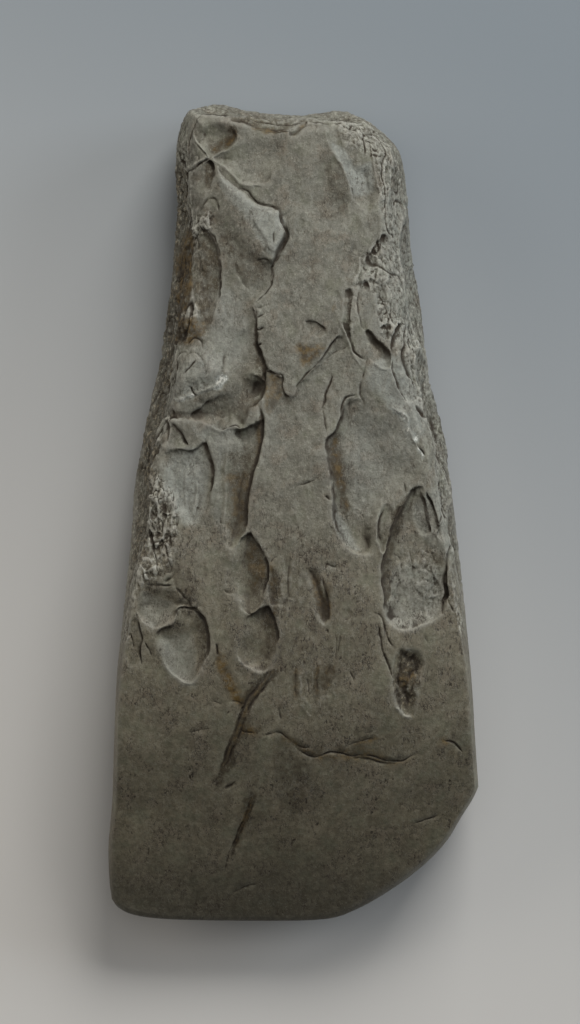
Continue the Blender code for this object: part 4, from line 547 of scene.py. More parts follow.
# Tints on the face, written like the rust: above 0 pale and bluish, partly tone and partly painted light;
# above 1 nearly white, a painted highlight; below 0 brown, partly stain and partly painted shade
TINT_PLACES = (
    (0.85, ((-16.8, 72.6, 1.5), (-14.4, 72.2, 0.6), (-11.2, 69.6, 0.5), (-9.2, 67.7, 0.5),
        (-6.6, 66.5, 0.5), (-3.3, 65.4, 0.5), (-1.6, 60.8, 0.5), (-4, 55.4, 0.5), (-5.4, 56.2, 0.6),
        (-8.8, 60.9, 0.7), (-12.4, 65.4, 1), (-15.6, 69, 1.5))),
    (1.05, ((8, 80.4, 0.8), (10.6, 79.6, 1), (13.6, 76, 1), (17.4, 75.6, 1), (17.4, 69.4, 1.5),
        (13.2, 68.6, 1), (11.6, 72.3, 0.8), (9.6, 76.2, 0.8))),
    (0.34, ((18.6, 68, 2), (26, 70, 2), (28.5, 50, 2), (28.5, 38, 2), (22, 36, 2), (15.5, 41, 2),
        (14.6, 53, 2), (19, 61, 2))),
    (0.8, ((21.4, 34, 2), (26, 29, 2), (29.5, 20, 2), (25.5, 14, 2), (22, 21, 2), (16.5, 26, 3),
        (16, 31.5, 2))),
    (0.6, ((-22, 18.6, 2), (-12, 18, 2), (-14.8, 12, 2), (-15.4, -5, 2), (-18, 0, 2), (-17.8, 10, 2),
        (-20, 15, 2))),
    (0.95, ((-26.6, 12.6, 2), (-19.6, 14, 2), (-18.2, 6, 1.5), (-19.6, -2, 2), (-25, -2.6, 3),
        (-28.4, 5, 2))),
    (0.5, ((-16.5, 48, 2), (-12, 47, 3), (-9, 38, 3), (-12, 31, 4), (-18, 35, 3))),
    (0.3, ((14, 22, 4), (24, 20, 3), (26, 10, 4), (16, -3, 4), (11.5, 4, 4), (11.5, 16, 3))),
    (0.8, ((8.4, 3, 1), (10, 1, 1.5), (13, -5, 2), (14.5, -8.8, 1), (11, -7.2, 1), (8.6, -2.6, 1))),
    (0.5, ((26, 1, 2), (34, 6, 2), (35, -9, 2), (29, -8, 2))),
    (0.5, ((20.5, -12, 2), (33, -12, 2), (32.5, -22, 2), (26, -25.5, 1.5), (20, -23, 1.5))),
    (0.6, ((-28.5, 27, 2), (-20, 36, 3), (-15, 33, 2), (-17, 26.6, 1.5), (-28, 23.4, 1.5))),
    (0.5, ((-30, -28, 3), (-22, -26, 3), (-21, -36.8, 1.2), (-26, -36.2, 1.2))),
    (0.4, ((-33, -17, 2), (-26, -19, 2), (-27, -24.6, 1.2), (-32.6, -24, 1.5))),
    (-0.4, ((-28, 76, 1), (-23.4, 74, 1.5), (-22, 60, 1.5), (-22.2, 44, 1.5), (-26, 34, 2), (-30, 24, 1.5),
        (-29, 12, 1.5), (-31, 2, 2), (-32, -10, 2), (-36.5, -10, 1), (-32, 28, 1), (-28, 50, 1))),
    (-0.4, ((-17.5, 66, 3), (-12, 60.5, 3), (-6, 54, 2), (-6.5, 50, 3), (-13, 49, 4), (-16, 55, 3))),
    (-0.8, ((-18.8, 76.8, 0.6), (-17.6, 76.2, 0.5), (-17.4, 73, 0.5), (-18, 70, 0.8), (-19.6, 71, 1.5),
        (-19.4, 74.5, 1))),
    (-0.3, ((5, 77, 3), (10, 75.5, 2), (13, 68.5, 2), (9, 62, 4), (4, 66, 4))),
    (-0.85, ((-17.6, 77.8, 1), (-15, 78.9, 1), (-12.9, 80.6, 1), (-12.2, 83.2, 1), (-13.2, 84.6, 1.5),
        (-15.6, 82.6, 2), (-17.4, 80, 1.5))),
    (-0.5, ((-14, 86.2, 1), (-9, 87.8, 1), (-2, 87.4, 1), (2.4, 85.2, 1), (-1, 83.2, 1), (-6, 82.8, 1),
        (-11, 84.2, 1))),
    (-0.65, ((-20.6, 61, 2), (-18.2, 59.6, 1), (-16.4, 55, 0.8), (-16, 49.6, 0.8), (-16.8, 45, 1),
        (-18.6, 40.6, 2), (-21.2, 44, 2), (-22, 52, 2))),
    (-0.9, ((-8.6, 41, 1), (-7.6, 41, 0.6), (-7.2, 34, 0.6), (-6, 30, 0.8), (-6.2, 26, 0.8), (-8.4, 23, 1),
        (-9, 24, 1), (-7.6, 27, 1), (-8.4, 33, 1))),
    (-0.9, ((9.8, 17.5, 1), (11.2, 12, 1.5), (11.6, 6, 1.5), (12.8, 1.4, 1.5), (11.6, -0.6, 1.5),
        (9.6, 1.5, 1), (8.8, 6, 1), (7.8, 10, 1), (7.2, 14.6, 1), (8.6, 17, 1))),
    (-0.45, ((-14.6, 13, 2), (-8.6, 13.6, 1), (-9.8, 4, 1), (-10.6, -4, 1), (-13, -6.6, 1.5),
        (-14.6, 0, 2))),
    (-0.9, ((-8.2, 20, 1), (-7, 20, 0.6), (-7.6, 13, 0.6), (-9.6, 5, 0.6), (-10.2, -3.6, 0.6),
        (-11.4, -3, 1), (-10.8, 5, 1), (-8.8, 12, 1))),
    (-0.85, ((-9.6, -6.4, 1), (-7.4, -7.6, 1), (-5.6, -11.4, 1), (-5.8, -16, 1), (-7.6, -18.6, 1),
        (-10.6, -16, 2), (-10.6, -10, 2))),
    (-1, ((-5.2, -12, 0.8), (-3.4, -13, 1), (-2.4, -16, 1), (-2.6, -20, 1), (-4, -23, 0.8),
        (-5.2, -19, 0.8))),
    (-1, ((4.6, -14.6, 1), (6.2, -15.4, 0.8), (7.5, -20, 0.6), (7.4, -23.6, 0.6), (5.8, -22.4, 1),
        (4.4, -18.4, 1.2))),
    (-0.85, ((24.4, 4.4, 1), (22, 0.4, 0.8), (20.6, -5, 0.8), (19.4, -11, 0.8), (19.3, -19, 0.8),
        (20.8, -18, 1.5), (22, -9, 2.5), (24.6, -2, 3), (26.4, 2.6, 2))),
    (-0.8, ((22.3, -30, 1), (24.4, -29.6, 1), (27.8, -31, 1.5), (27.8, -36.6, 1.5), (26.2, -41.6, 2),
        (23.6, -43, 1.5), (22, -38.6, 1))),
    (-0.75, ((-21.2, -21.6, 1), (-19.2, -24, 0.8), (-18.5, -28, 0.8), (-19.2, -32.4, 1),
        (-20.6, -33.6, 1.5), (-21.2, -27, 2))),
    (-0.85, ((-5.8, -20.6, 1), (-4.6, -22.6, 0.8), (-3.6, -26, 0.8), (-4, -30, 1), (-6, -29.4, 1.5),
        (-6.4, -24, 1.5))),
    (-1.5, ((-5.6, -34, 0.9), (-3.7, -35, 0.9), (-8.5, -41.8, 0.9), (-11.4, -49.4, 0.9),
        (-15.4, -58.2, 0.9), (-17.2, -58.2, 0.9), (-13.7, -48.6, 0.9), (-10.8, -40.8, 0.9))),
    (-1.1, ((-9.4, -61, 0.8), (-7.8, -62, 0.8), (-11.2, -70.6, 0.8), (-13.8, -75.2, 0.8),
        (-13.1, -70.8, 0.8), (-10.7, -65.4, 0.8))),
    (-0.4, ((-4.2, -48.5, 2), (0.5, -49, 2), (3.6, -56, 2), (3.2, -64, 2), (-1, -66, 2), (-4.4, -60, 2))),
    (-0.5, ((-19, 81.6, 1.5), (-15.5, 81.6, 1.5), (-12.6, 83.2, 1), (-12.4, 81, 1), (-14.6, 79, 1),
        (-17.6, 77.8, 1))),
    (-0.22, ((-14, -10, 6), (10, -8, 8), (18, -20, 6), (16, -34, 6), (-10, -34, 5), (-16, -24, 5))),
    (-0.15, ((-31.5, 7, 2), (-26.5, 5, 1.5), (-24.8, -6, 1.5), (-26, -13, 1.5), (-31, -14, 1.5),
        (-34, -8, 1.5))),
    (-0.3, ((-23, 27.4, 2), (-14, 30, 3), (-8, 34, 1.5), (-6.8, 29, 1), (-8.4, 23, 1.5), (-12, 20.4, 1.5),
        (-18, 20.4, 2))),
    (-0.35, ((-28, -10, 2), (-22, -13, 2), (-20, -19, 2), (-25, -20, 1.5), (-33, -16, 2))),
    # Painted highlights on the ridge above the left dish and along the right dish's rim
    (1.9, ((-26.5, 24.3, 0.4), (-25, 25, 0.4), (-23.3, 25.1, 0.4), (-23.5, 24.2, 0.4), (-25.2, 23.9, 0.4))),
    (1.9, ((-22.9, 24.8, 0.4), (-21.6, 26.2, 0.4), (-20.9, 25.6, 0.4), (-22, 24.5, 0.4))),
    (1.9, ((-17.8, 27.2, 0.5), (-16.2, 29.6, 0.5), (-14.5, 29.9, 0.5), (-14.5, 28.3, 0.5),
        (-16.2, 26.8, 0.5))),
    (1.8, ((20.2, 23.3, 0.4), (22.6, 22.6, 0.4), (25.3, 20.9, 0.4), (25.2, 17.2, 0.4), (24.5, 17.2, 0.4),
        (24.4, 19.8, 0.4), (22.8, 21.2, 0.4), (20.6, 22.4, 0.4))),
    (1.8, ((25.9, 16.8, 0.4), (26.9, 16.5, 0.4), (27, 15.2, 0.4), (26.2, 15.1, 0.4))),
    (1.7, ((26.8, 14.5, 0.4), (28.8, 12.3, 0.4), (28.3, 11.6, 0.4), (26.8, 13.4, 0.4))),
)

# How rough and how smoothly ground the stone is along the adze: place, share
ROUGH_ALONG = ((-90, 0), (-40, 0.05), (-28, 0.55), (-10, 1), (90, 1))
# Grinding shares above 1 darken the colour toward the cutting edge as painted shade
GROUND_ALONG = (
    (-90, 1.75), (-80, 1.45), (-68, 1.06), (-46, 0.86), (-34, 0.8), (-22, 0.74), (-10, 0.54), (2, 0.22),
    (14, 0), (90, 0),
)
# Broad and small waves of the rough part: height and size
UNDULATION = 0.45
UNDULATION_SIZE = 11.0
RIPPLE = 0.14
RIPPLE_SIZE = 4.2
# Shifts that make drawn borders uneven: size and reach
WARPS = ((3.4, 0.24), (1.2, 0.14))
# Grain of the stone: size and height, then its share where the stone is ground
GRAINS = ((1.6, 0.05), (0.75, 0.04))
GROUND_GRAIN = 0.3
# Small flake scoops: size and height, how fast each size fades, their share on plain stone, and their form
SCOOPS = ((5.4, 0.50), (2.7, 0.36), (1.3, 0.19))
COARSENESS = (2.0, 1.5, 1.0)
PLAIN_SCOOPS = 0.25
SCOOP_HOLLOW = 1.5
SCOOP_STRETCH = (1.0, 0.55, 1.0)
# Hammer dents: size, depth and share of the places with one, and the least roughness that has them
DENTS = ((1.9, 0.12, 0.25), (1.1, 0.11, 0.30), (0.7, 0.07, 0.5))
LEAST_DENTED = 0.02
# Winding cracks: size and depth, their width, and how much stronger they and the dents are at left
WRINKLES = ((4.4, 0.40), (2.2, 0.28), (1.1, 0.18))
WRINKLE_SHARE = 0.085
LEFT_GNARL = 1.45
# Roughness of the sides and of the back, how far the sides' goes in, and the size of its patches
SIDE_ROUGHNESS = 0.95
BACK_ROUGHNESS = 0.55
SIDE_BAND = 1.3
ROUGH_PATCHES = 6.0
# A scar's sharp rim: how far in it drops and its share of the depth, and how sharply its walls change over
RIM_DROP = 0.4
RIM_SHARE = 0.28
RIM_BLEND = 8.0
# How far a crack reaches out, in half widths, and how far in from the outline it is full
CRACK_REACH = 2.6
CRACK_FADE = 0.8
# Cells over which crevices and hollows are measured, and the depth of a full hollow
CREVICE_CELLS = 4
HOLLOW_CELLS = 12
HOLLOW_DEPTH = 0.8
# Where colour begins and over how much more it becomes full: by depth, by slope, and by distance in
PIT_RAMP = (0.04, 0.14)
WALL_RAMP = (0.45, 0.8)
INNER_RAMP = (1.5, 2.5)
# Dirt with painted shade on the scar walls, a painted highlight on those that face the poll, where the key
# light stands, wear on edges, and the dirt of the back
WALL_DIRT_AND_SHADE = 0.65
LIT_WALL_HIGHLIGHT = 1.2
WORN_HEIGHT = 0.16
BACK_DIRT = 0.15
# How far in the dirt with painted shade and the wear with painted highlight are full, and their shares on
# the outline below the poll's end and above it
SIDE_FADE = 1.3
POLL_END = (78.0, 86.0)
OUTLINE_SHARES = (0.5, 0.25)
NOISE_CELLS = 64
DENT_CELLS = 32

# Colours as red, green and blue: the two tones of butt and blade, then what lies over them
BUTT_TONES = ((0.130, 0.124, 0.099), (0.162, 0.158, 0.129))
BLADE_TONES = ((0.124, 0.108, 0.072), (0.170, 0.148, 0.102))
REDDISH_BLOTCH = (0.120, 0.096, 0.070)
GREENISH_BLOTCH = (0.150, 0.152, 0.102)
# Painted shade toward the cutting edge, where the bevel turns away from the key light
BEVEL_PAINTED_SHADE = (0.050, 0.044, 0.030)
# Pale bluish: partly the stone's own tone, partly painted light on facets that face the lamps
PALE_TONE_AND_LIGHT = (0.235, 0.245, 0.222)
# Brown: partly stain, partly painted shade in hollows and on walls turned from the light
BROWN_STAIN_AND_SHADE = (0.052, 0.041, 0.024)
# Near-white painted highlight for tints above 1
PAINTED_HIGHLIGHT = (0.50, 0.50, 0.46)
DAPPLE_TONES = ((0.66, 0.63, 0.58), (1.24, 1.25, 1.22))
SPECKLE_TONES = (0.66, 1.30)
LIGHT_GRAIN = (0.38, 0.37, 0.30)
DARK_GRAIN = (0.040, 0.030, 0.019)
CRUST_TONES = ((0.40, 0.39, 0.33), (0.29, 0.245, 0.165))
POCK = (0.040, 0.030, 0.017)
FLECK = (0.034, 0.026, 0.016)
SCRATCH = (0.36, 0.35, 0.29)
# Pale colour of worn edges, also used as a painted highlight on scar walls that face the key light
WORN_AND_LIT = (0.40, 0.39, 0.34)
RUST_TONES = ((0.038, 0.025, 0.010), (0.112, 0.070, 0.020))
# Dark brown of dirt, also used as painted shade in crevices, hollows and on shaded scar walls
DIRT_AND_SHADE = (0.028, 0.020, 0.012)
# The floor's painted shade toward the upper right, then its lit tone
FLOOR_SHADED_AND_LIT = ((0.235, 0.265, 0.29), (0.62, 0.60, 0.57))
# Noise of the stone's colour: scale, detail, roughness. The streaked ones are drawn out along the adze.
CLOUD_NOISE = (70.0, 4.0, 0.55)
BLOTCH_NOISE = (190.0, 4.0, 0.6)
MOTTLE_NOISE = (380.0, 4.0, 0.65)
DAPPLE_NOISE = (800.0, 3.0, 0.6)
CRUMB_NOISE = (1050.0, 4.0, 0.7)
GRAIN_NOISE = (1500.0, 3.0, 0.7)
SPECK_NOISE = (2600.0, 2.0, 0.6)
STREAK_NOISE = (1250.0, 3.0, 0.65)
VEIN_NOISE = (520.0, 4.0, 0.7)
HAIR_NOISE = (430.0, 5.0, 0.75)
STREAK_STRETCH = (1.0, 0.45, 1.0)
BUMP_DISTANCE = 0.00035
BUMP_STRENGTH = 0.55

# Camera and light
CAMERA_DISTANCE = 1.1
FOCUS_HEIGHT = 0.018
PHOTO_SIZE = (580, 1024)
PIXELS_PER_MM = 4.566
ADZE_CENTRE_PIXEL = (293.5, 512.0)
SENSOR_MM = 36.0
# Lights that look at the middle of the adze: name, place, size, power, colour
LIGHTS = (
    ("key", (0.4, 1.1, 0.75), 0.7, 18.0, (1.0, 0.985, 0.955)),
    ("cool_side", (1.1, 0.4, 0.45), 0.5, 5.5, (0.82, 0.91, 1.0)),
    ("left_fill", (-1.1, 0.35, 0.5), 0.8, 4.0, (1.0, 0.93, 0.83)),
    ("top", (0.0, 0.2, 1.6), 1.2, 3.5, (1.0, 1.0, 1.0)),
)
ROOM_LIGHT = (0.90, 0.95, 1.0, 1.0)
ROOM_STRENGTH = 0.10
FLOOR_SIZE = 4.0
FLOOR_DROP = 0.0002


def unit(values):
    return np.clip(values, 0.0, 1.0)


def stations_curve(stations, places):
    """A smooth curve through (place, value) stations, read at the given places."""
    at, values = np.array(stations, float).T
    slopes = np.gradient(values, at)
    cell = np.clip(np.searchsorted(at, places) - 1, 0, len(at) - 2)
    span = at[cell + 1] - at[cell]
    t = unit((places - at[cell]) / span)
    rise = values[cell + 1] - values[cell]
    bend = t * (1 - t) * ((slopes[cell] * span - rise) * (1 - t) + (rise - slopes[cell + 1] * span) * t)
    return values[cell] + rise * t + bend


def smooth_run(points, closed=False):
    """Points of a smooth run through the given ones, each with any number of values."""
    points = np.array(points, float)
    if closed:
        before, after = points[-1:], points[:2]
    else:
        before, after = 2 * points[:1] - points[1:2], 2 * points[-1:] - points[-2:-1]
    padded = np.concatenate([before, points, after])
    share = (np.arange(CURVE_STEPS) / CURVE_STEPS)[None, :, None]
    a, b, c, d = (padded[k:len(padded) - 3 + k, None, :] for k in range(4))
    run = b + 0.5 * share * (c - a + share * (2 * a - 5 * b + 4 * c - d + share * (3 * (b - c) + d - a)))
    run = run.reshape(-1, points.shape[1])
    return run if closed else np.concatenate([run, points[-1:]])


def run_lengths(run):
    """The length of each step of a run, and the length up to each of its points."""
    steps = np.linalg.norm(np.diff(run, axis=0), axis=1)
    return steps, np.concatenate([[0.0], np.cumsum(steps)])


def along_run(run, shares):
    """Places on a run of points, at shares of its length."""
    reached = run_lengths(run)[1]
    wanted = shares * reached[-1]
    return np.stack([np.interp(wanted, reached, run[:, k]) for k in range(2)], axis=-1)


def crowded(count, crowding):
    """Shares from 0 to 1 that lie closer together near both ends."""
    even = np.linspace(0.0, 1.0, count + 1)
    return (1 - crowding) * even + crowding * (1 - np.cos(np.pi * even)) / 2


def plan_grid():
    """The grid of plan points inside the outline, with rows from poll to cutting edge, and the outline."""
    sides = [smooth_run(side) for side in (POLL_SIDE, CUTTING_SIDE, LEFT_SIDE, RIGHT_SIDE)]
    s, t = crowded(COLUMNS, COLUMN_CROWDING), crowded(ROWS, ROW_CROWDING)
    top, bottom = along_run(sides[0], s)[None], along_run(sides[1], s)[None]
    left, right = along_run(sides[2], t)[:, None], along_run(sides[3], t)[:, None]
    s, t = s[None, :, None], t[:, None, None]
    corners = (1 - s) * (1 - t) * top[:, :1] + s * (1 - t) * top[:, -1:]
    corners = corners + (1 - s) * t * bottom[:, :1] + s * t * bottom[:, -1:]
    grid = (1 - t) * top + t * bottom + (1 - s) * left + s * right - corners
    outline = np.concatenate([sides[0], sides[3][1:], sides[1][::-1][1:], sides[2][::-1][1:-1]])
    return grid, outline


def segment_distances(x, y, start, end):
    """Distance from each point to each segment, and the share along the segment."""
    dx, dy = (end - start)[:, 0, None], (end - start)[:, 1, None]
    px, py = x[None] - start[:, 0, None], y[None] - start[:, 1, None]
    share = np.clip((px * dx + py * dy) / np.maximum(dx * dx + dy * dy, 1e-9), 0.0, 1.0)
    return np.hypot(px - share * dx, py - share * dy), share


def border_distance(x, y, outline):
    """Distance from each point to the outline."""
    distance = np.empty_like(x)
    end = np.roll(outline, -1, axis=0)
    for first in range(0, len(x), CHUNK):
        part = slice(first, first + CHUNK)
        distance[part] = segment_distances(x[part], y[part], outline, end)[0].min(axis=0)
    return distance


def inside(x, y, run):
    """Whether each point lies inside a closed run."""
    x1, y1 = run[:, 0, None], run[:, 1, None]
    x2, y2 = np.roll(x1, -1, axis=0), np.roll(y1, -1, axis=0)
    crosses = (y1 > y[None]) != (y2 > y[None])
    where = x1 + (y[None] - y1) * (x2 - x1) / np.where(y2 == y1, 1.0, y2 - y1)
    return (crosses & (x[None] < where)).sum(axis=0) % 2 == 1


def patch_depth(x, y, outline):
    """Share of its depth that a scar has at each point: none outside, then more over the wall's reach."""
    outline = np.array(outline, float)
    outline = np.column_stack([outline[:, :2], np.abs(outline[:, 2]), outline[:, 2] < 0])
    run = smooth_run(outline, closed=True)
    depth = np.zeros_like(x)
    near = (x > run[:, 0].min()) & (x < run[:, 0].max()) & (y > run[:, 1].min()) & (y < run[:, 1].max())
    within = near.copy()
    within[near] = inside(x[near], y[near], run)
    places = np.flatnonzero(within)
    end = np.roll(run, -1, axis=0)
    for first in range(0, len(places), CHUNK):
        part = places[first:first + CHUNK]
        distance, share = segment_distances(x[part], y[part], run[:, :2], end[:, :2])
        reach = run[:, 2, None] + share * (end[:, 2] - run[:, 2])[:, None]
        depths = distance / reach
        closest = depths.argmin(axis=0), np.arange(len(part))
        nearest = depths[closest]
        drop = unit(distance[closest] / RIM_DROP)
        weight = np.exp(-RIM_BLEND * (depths - nearest))
        soft_rim = unit(run[:, 3, None] + share * (end[:, 3] - run[:, 3])[:, None])
        softness = (weight * soft_rim).sum(axis=0) / weight.sum(axis=0)
        rise = unit(nearest)
        crisp = RIM_SHARE * drop + (1 - RIM_SHARE) * rise * (2 - rise)
        soft = rise * rise * (3 - 2 * rise)
        depth[part] = crisp + softness * (soft - crisp)
    return depth


def line_depth(x, y, half_width, points):
    """Share of its depth that a crack has at each point, thinning out at both ends."""
    run = smooth_run(points)
    reach = CRACK_REACH * half_width
    near = (x > run[:, 0].min() - reach) & (x < run[:, 0].max() + reach)
    near &= (y > run[:, 1].min() - reach) & (y < run[:, 1].max() + reach)
    depth = np.zeros_like(x)
    places = np.flatnonzero(near)
    distance, share = segment_distances(x[places], y[places], run[:-1], run[1:])
    steps, reached = run_lengths(run)
    nearest = distance.argmin(axis=0)
    closest = nearest, np.arange(len(places))
    along = (reached[nearest] + share[closest] * steps[nearest]) / reached[-1]
    taper = unit(np.minimum(along, 1 - along) / CRACK_TAPER)
    width = half_width * (0.45 + 0.55 * taper)
    depth[places] = np.exp(-(distance[closest] / width) ** 2) * (0.35 + 0.65 * taper)
    return depth


def noise(points, size, seed):
    """Smooth noise from -1 to 1 whose lumps are about the given size, over points in space."""
    table = np.random.default_rng(seed).uniform(-1.0, 1.0, (NOISE_CELLS,) * 3)
    place = points / size + NOISE_CELLS
    cell = np.floor(place).astype(int)
    t = place - cell
    t = t * t * (3 - 2 * t)
    value = np.zeros(len(points))
    for corner in np.ndindex(2, 2, 2):
        corner = np.array(corner)
        share = np.prod(np.where(corner, t, 1 - t), axis=1)
        i, j, k = ((cell + corner) % NOISE_CELLS).T
        value += share * table[i, j, k]
    return value


def cell_offsets(place, jitter):
    """For each of the cells around each place: its indices, and the offset from its jittered middle."""
    cell = np.floor(place).astype(int)
    for step in np.ndindex(3, 3, 3):
        other = cell + np.array(step) - 1
        i, j, k = (other % DENT_CELLS).T
        yield (i, j, k), place - other - jitter[i, j, k]


def dents(points, size, seed, share):
    """Depth from 0 to 1 of round hammer dents scattered about size apart. A share of the places has one."""
    random = np.random.default_rng(seed)
    jitter = random.uniform(0.0, 1.0, (DENT_CELLS,) * 3 + (3,))
    radius = random.uniform(0.45, 0.85, (DENT_CELLS,) * 3)
    strength = random.uniform(0.4, 1.0, (DENT_CELLS,) * 3) * (random.uniform(size=(DENT_CELLS,) * 3) < share)
    depth = np.zeros(len(points))
    for cell, offset in cell_offsets(points / size + DENT_CELLS, jitter):
        gap = (offset ** 2).sum(axis=1) / radius[cell] ** 2
        depth = np.maximum(depth, strength[cell] * unit(1 - gap))
    return depth


def scoops(points, size, seed):
    """Height from -1 to 1 of little flake scoops about size across, each tilted its own way."""
    random = np.random.default_rng(seed)
    jitter = random.uniform(0.0, 1.0, (DENT_CELLS,) * 3 + (3,))
    tilt = random.uniform(-1.1, 1.1, (DENT_CELLS,) * 3 + (3,))
    level = random.uniform(-0.4, 0.4, (DENT_CELLS,) * 3)
    place = points / size + DENT_CELLS
    place += 0.28 * np.stack([noise(points, 0.5 * size, seed + k) for k in (1, 2, 3)], axis=1)
    nearest, height = np.full(len(points), np.inf), np.zeros(len(points))
    for cell, offset in cell_offsets(place, jitter):
        gap = (offset ** 2).sum(axis=1)
        shape = level[cell] + (offset * tilt[cell]).sum(axis=1) + SCOOP_HOLLOW * gap - 0.5
        height = np.where(gap < nearest, shape, height)
        nearest = np.minimum(gap, nearest)
    return np.clip(height, -1.0, 1.0)


def wrinkles(points, size, seed):
    """Thin winding cracks, from 0 to 1, that come and go."""
    line = unit(1 - np.abs(noise(points, size, seed)) / WRINKLE_SHARE)
    return line * unit(0.45 + 1.6 * noise(points, 2.2 * size, seed + 1))


def rounded(distance, reach, bluntness):
    """Share of full height at a distance in from a rounded border."""
    short = 1 - unit(distance / reach)
    return (1 - short ** bluntness) ** (1 / bluntness)


def flat_points(x, y, height=0.0):
    return np.stack([x, y, np.full_like(x, height)], axis=1)


def warped(x, y):
    """The plan points shifted a little this way and that, which makes drawn borders uneven."""
    plan = flat_points(x, y)
    for seed, (size, reach) in enumerate(WARPS):
        x = x + reach * noise(plan, size, 31 + 2 * seed)
        y = y + reach * noise(plan, size, 32 + 2 * seed)
    return x, y


def face_relief(x, y, border):
    """Height that the scars, layers, rims and waves give the face."""
    rough = stations_curve(ROUGH_ALONG, y)
    plan = flat_points(x, y)
    x, y = warped(x, y)
    height = np.zeros_like(x)
    for scale, drawn in ((-SCAR_DEPTH, SCARS), (-1.0, SMALL_SCARS), (SCAR_DEPTH, LAYERS)):
        for depth, outline in drawn.values():
            height += scale * depth * patch_depth(x, y, outline)
    for half_width, rise, points in RIMS:
        height += rise * line_depth(x, y, half_width, points)
    height += rough * UNDULATION * noise(plan, UNDULATION_SIZE, 1)
    height += rough * RIPPLE * noise(plan, RIPPLE_SIZE, 2)
    return height * unit(border / RELIEF_FADE)


def crack_depth(x, y):
    """Depth and darkness of the cracks over the face."""
    plan = flat_points(x, y)
    wander = 0.55 * noise(plan, 2.6, 41) + 0.45 * noise(plan, 0.8, 42) - 0.1
    x, y = warped(x, y)
    depth, dark = np.zeros_like(x), np.zeros_like(x)
    for half_width, deep, points in CRACKS:
        share = line_depth(x, y, half_width, points)
        share *= np.clip(1 + wander * min(1.0, EVEN_CRACK / half_width), 0.15, 1.3)
        depth = np.maximum(depth, deep * share)
        dark = np.maximum(dark, share * min(1.0, 0.35 + 1.3 * deep))
    return depth, unit(1.2 * dark)


def heights(x, y, border):
    """Heights of the face and the back over each plan point, which meet on the outline, and the relief."""
    half = np.interp(y, WIDTHS_AT, (BLADE_WIDTH / 2, POLL_WIDTH / 2))
    across = unit(np.abs(x) / half) ** 2
    half_length = LENGTH / 2
    chin = BEVEL_LENGTH - half_length
    bevel = (chin - y) / (chin + half_length)
    bevel = unit((bevel + np.sqrt(bevel * bevel + CHIN_SOFTNESS ** 2)) / 2)
    taper = unit(y / half_length) ** 2
    back = BACK_CROWN * across * (1 - bevel) + BACK_TAPER * taper - GROUND_FLAT_DEPTH * (1 - bevel)
    back += EDGE_HEIGHT * bevel * (1 + BEVEL_HOLLOW * (1 - bevel))
    crest = stations_curve(FACE_CREST, y)
    poll_share = unit((crest - 1.0) / (FACE_CREST[-1][1] - 1.0)) * (y > 0)
    top = EDGE_HEIGHT + EDGE_THICKNESS + (THICKNESS - EDGE_HEIGHT - EDGE_THICKNESS) * crest
    top = np.where(y > 0, THICKNESS + (POLL_THICKNESS - THICKNESS) * poll_share, top)
    face = top - FACE_CROWN * across * unit((y + half_length) / CROWN_FADE)
    full = np.maximum(face - back, EDGE_THICKNESS)
    widest = back + (WIDEST_SHARE + (0.5 - WIDEST_SHARE) * bevel) * full
    reach = np.minimum(stations_curve(SIDE_REACH, y), EDGE_ROUND_SHARE * full)
    face = widest + (back + full - widest) * rounded(border, reach, SIDE_BLUNTNESS)
    scarred = sum(depth * patch_depth(x, y, outline) for depth, outline in BACK_SCARS.values())
    back += SCAR_DEPTH * scarred * unit(border / BACK_SCAR_FADE)
    back_reach = np.minimum(BACK_REACH, EDGE_ROUND_SHARE * full)
    back = widest - (widest - back) * rounded(border, back_reach, BACK_BLUNTNESS)
    relief = face_relief(x, y, border)
    return face + relief, back, relief


def chipped(points):
    """Surface points with the chips taken off: a chip leaves a shallow bowl with a crisp rim."""
    points = points.copy()
    for side, place, share, inset, dip, turn, length, breadth, depth in CHIPS:
        dip, turn = np.radians(dip), np.radians(turn)
        if side == "poll":
            run, level, along = np.array(POLL_SIDE), POLL_THICKNESS, np.array([1.0, 0.0, 0.0])
            middle = np.array([place, np.interp(place, run[:, 0], run[:, 1]) - inset, share * level])
            inward = np.array([0.0, -np.cos(dip), -np.sin(dip)])
        else:
            sign = -1.0 if side == "left" else 1.0
            run = np.array(LEFT_SIDE if side == "left" else RIGHT_SIDE)[::-1]
            along = np.array([0.0, 1.0, 0.0])
            edge = np.interp(place, run[:, 1], run[:, 0])
            middle = np.array([edge - sign * inset, place, share * THICKNESS])
            inward = np.array([-sign * np.cos(dip), 0.0, -np.sin(dip)])
        across = np.cross(inward, along)
        turned = np.cos(turn) * along + np.sin(turn) * across
        across = np.cos(turn) * across - np.sin(turn) * along
        offset = points - middle
        bowl = depth * (1 - (2 * (offset @ turned) / length) ** 2 - (2 * (offset @ across) / breadth) ** 2)
        points += np.outer(np.clip(bowl - offset @ inward, 0.0, None), inward)
    return points


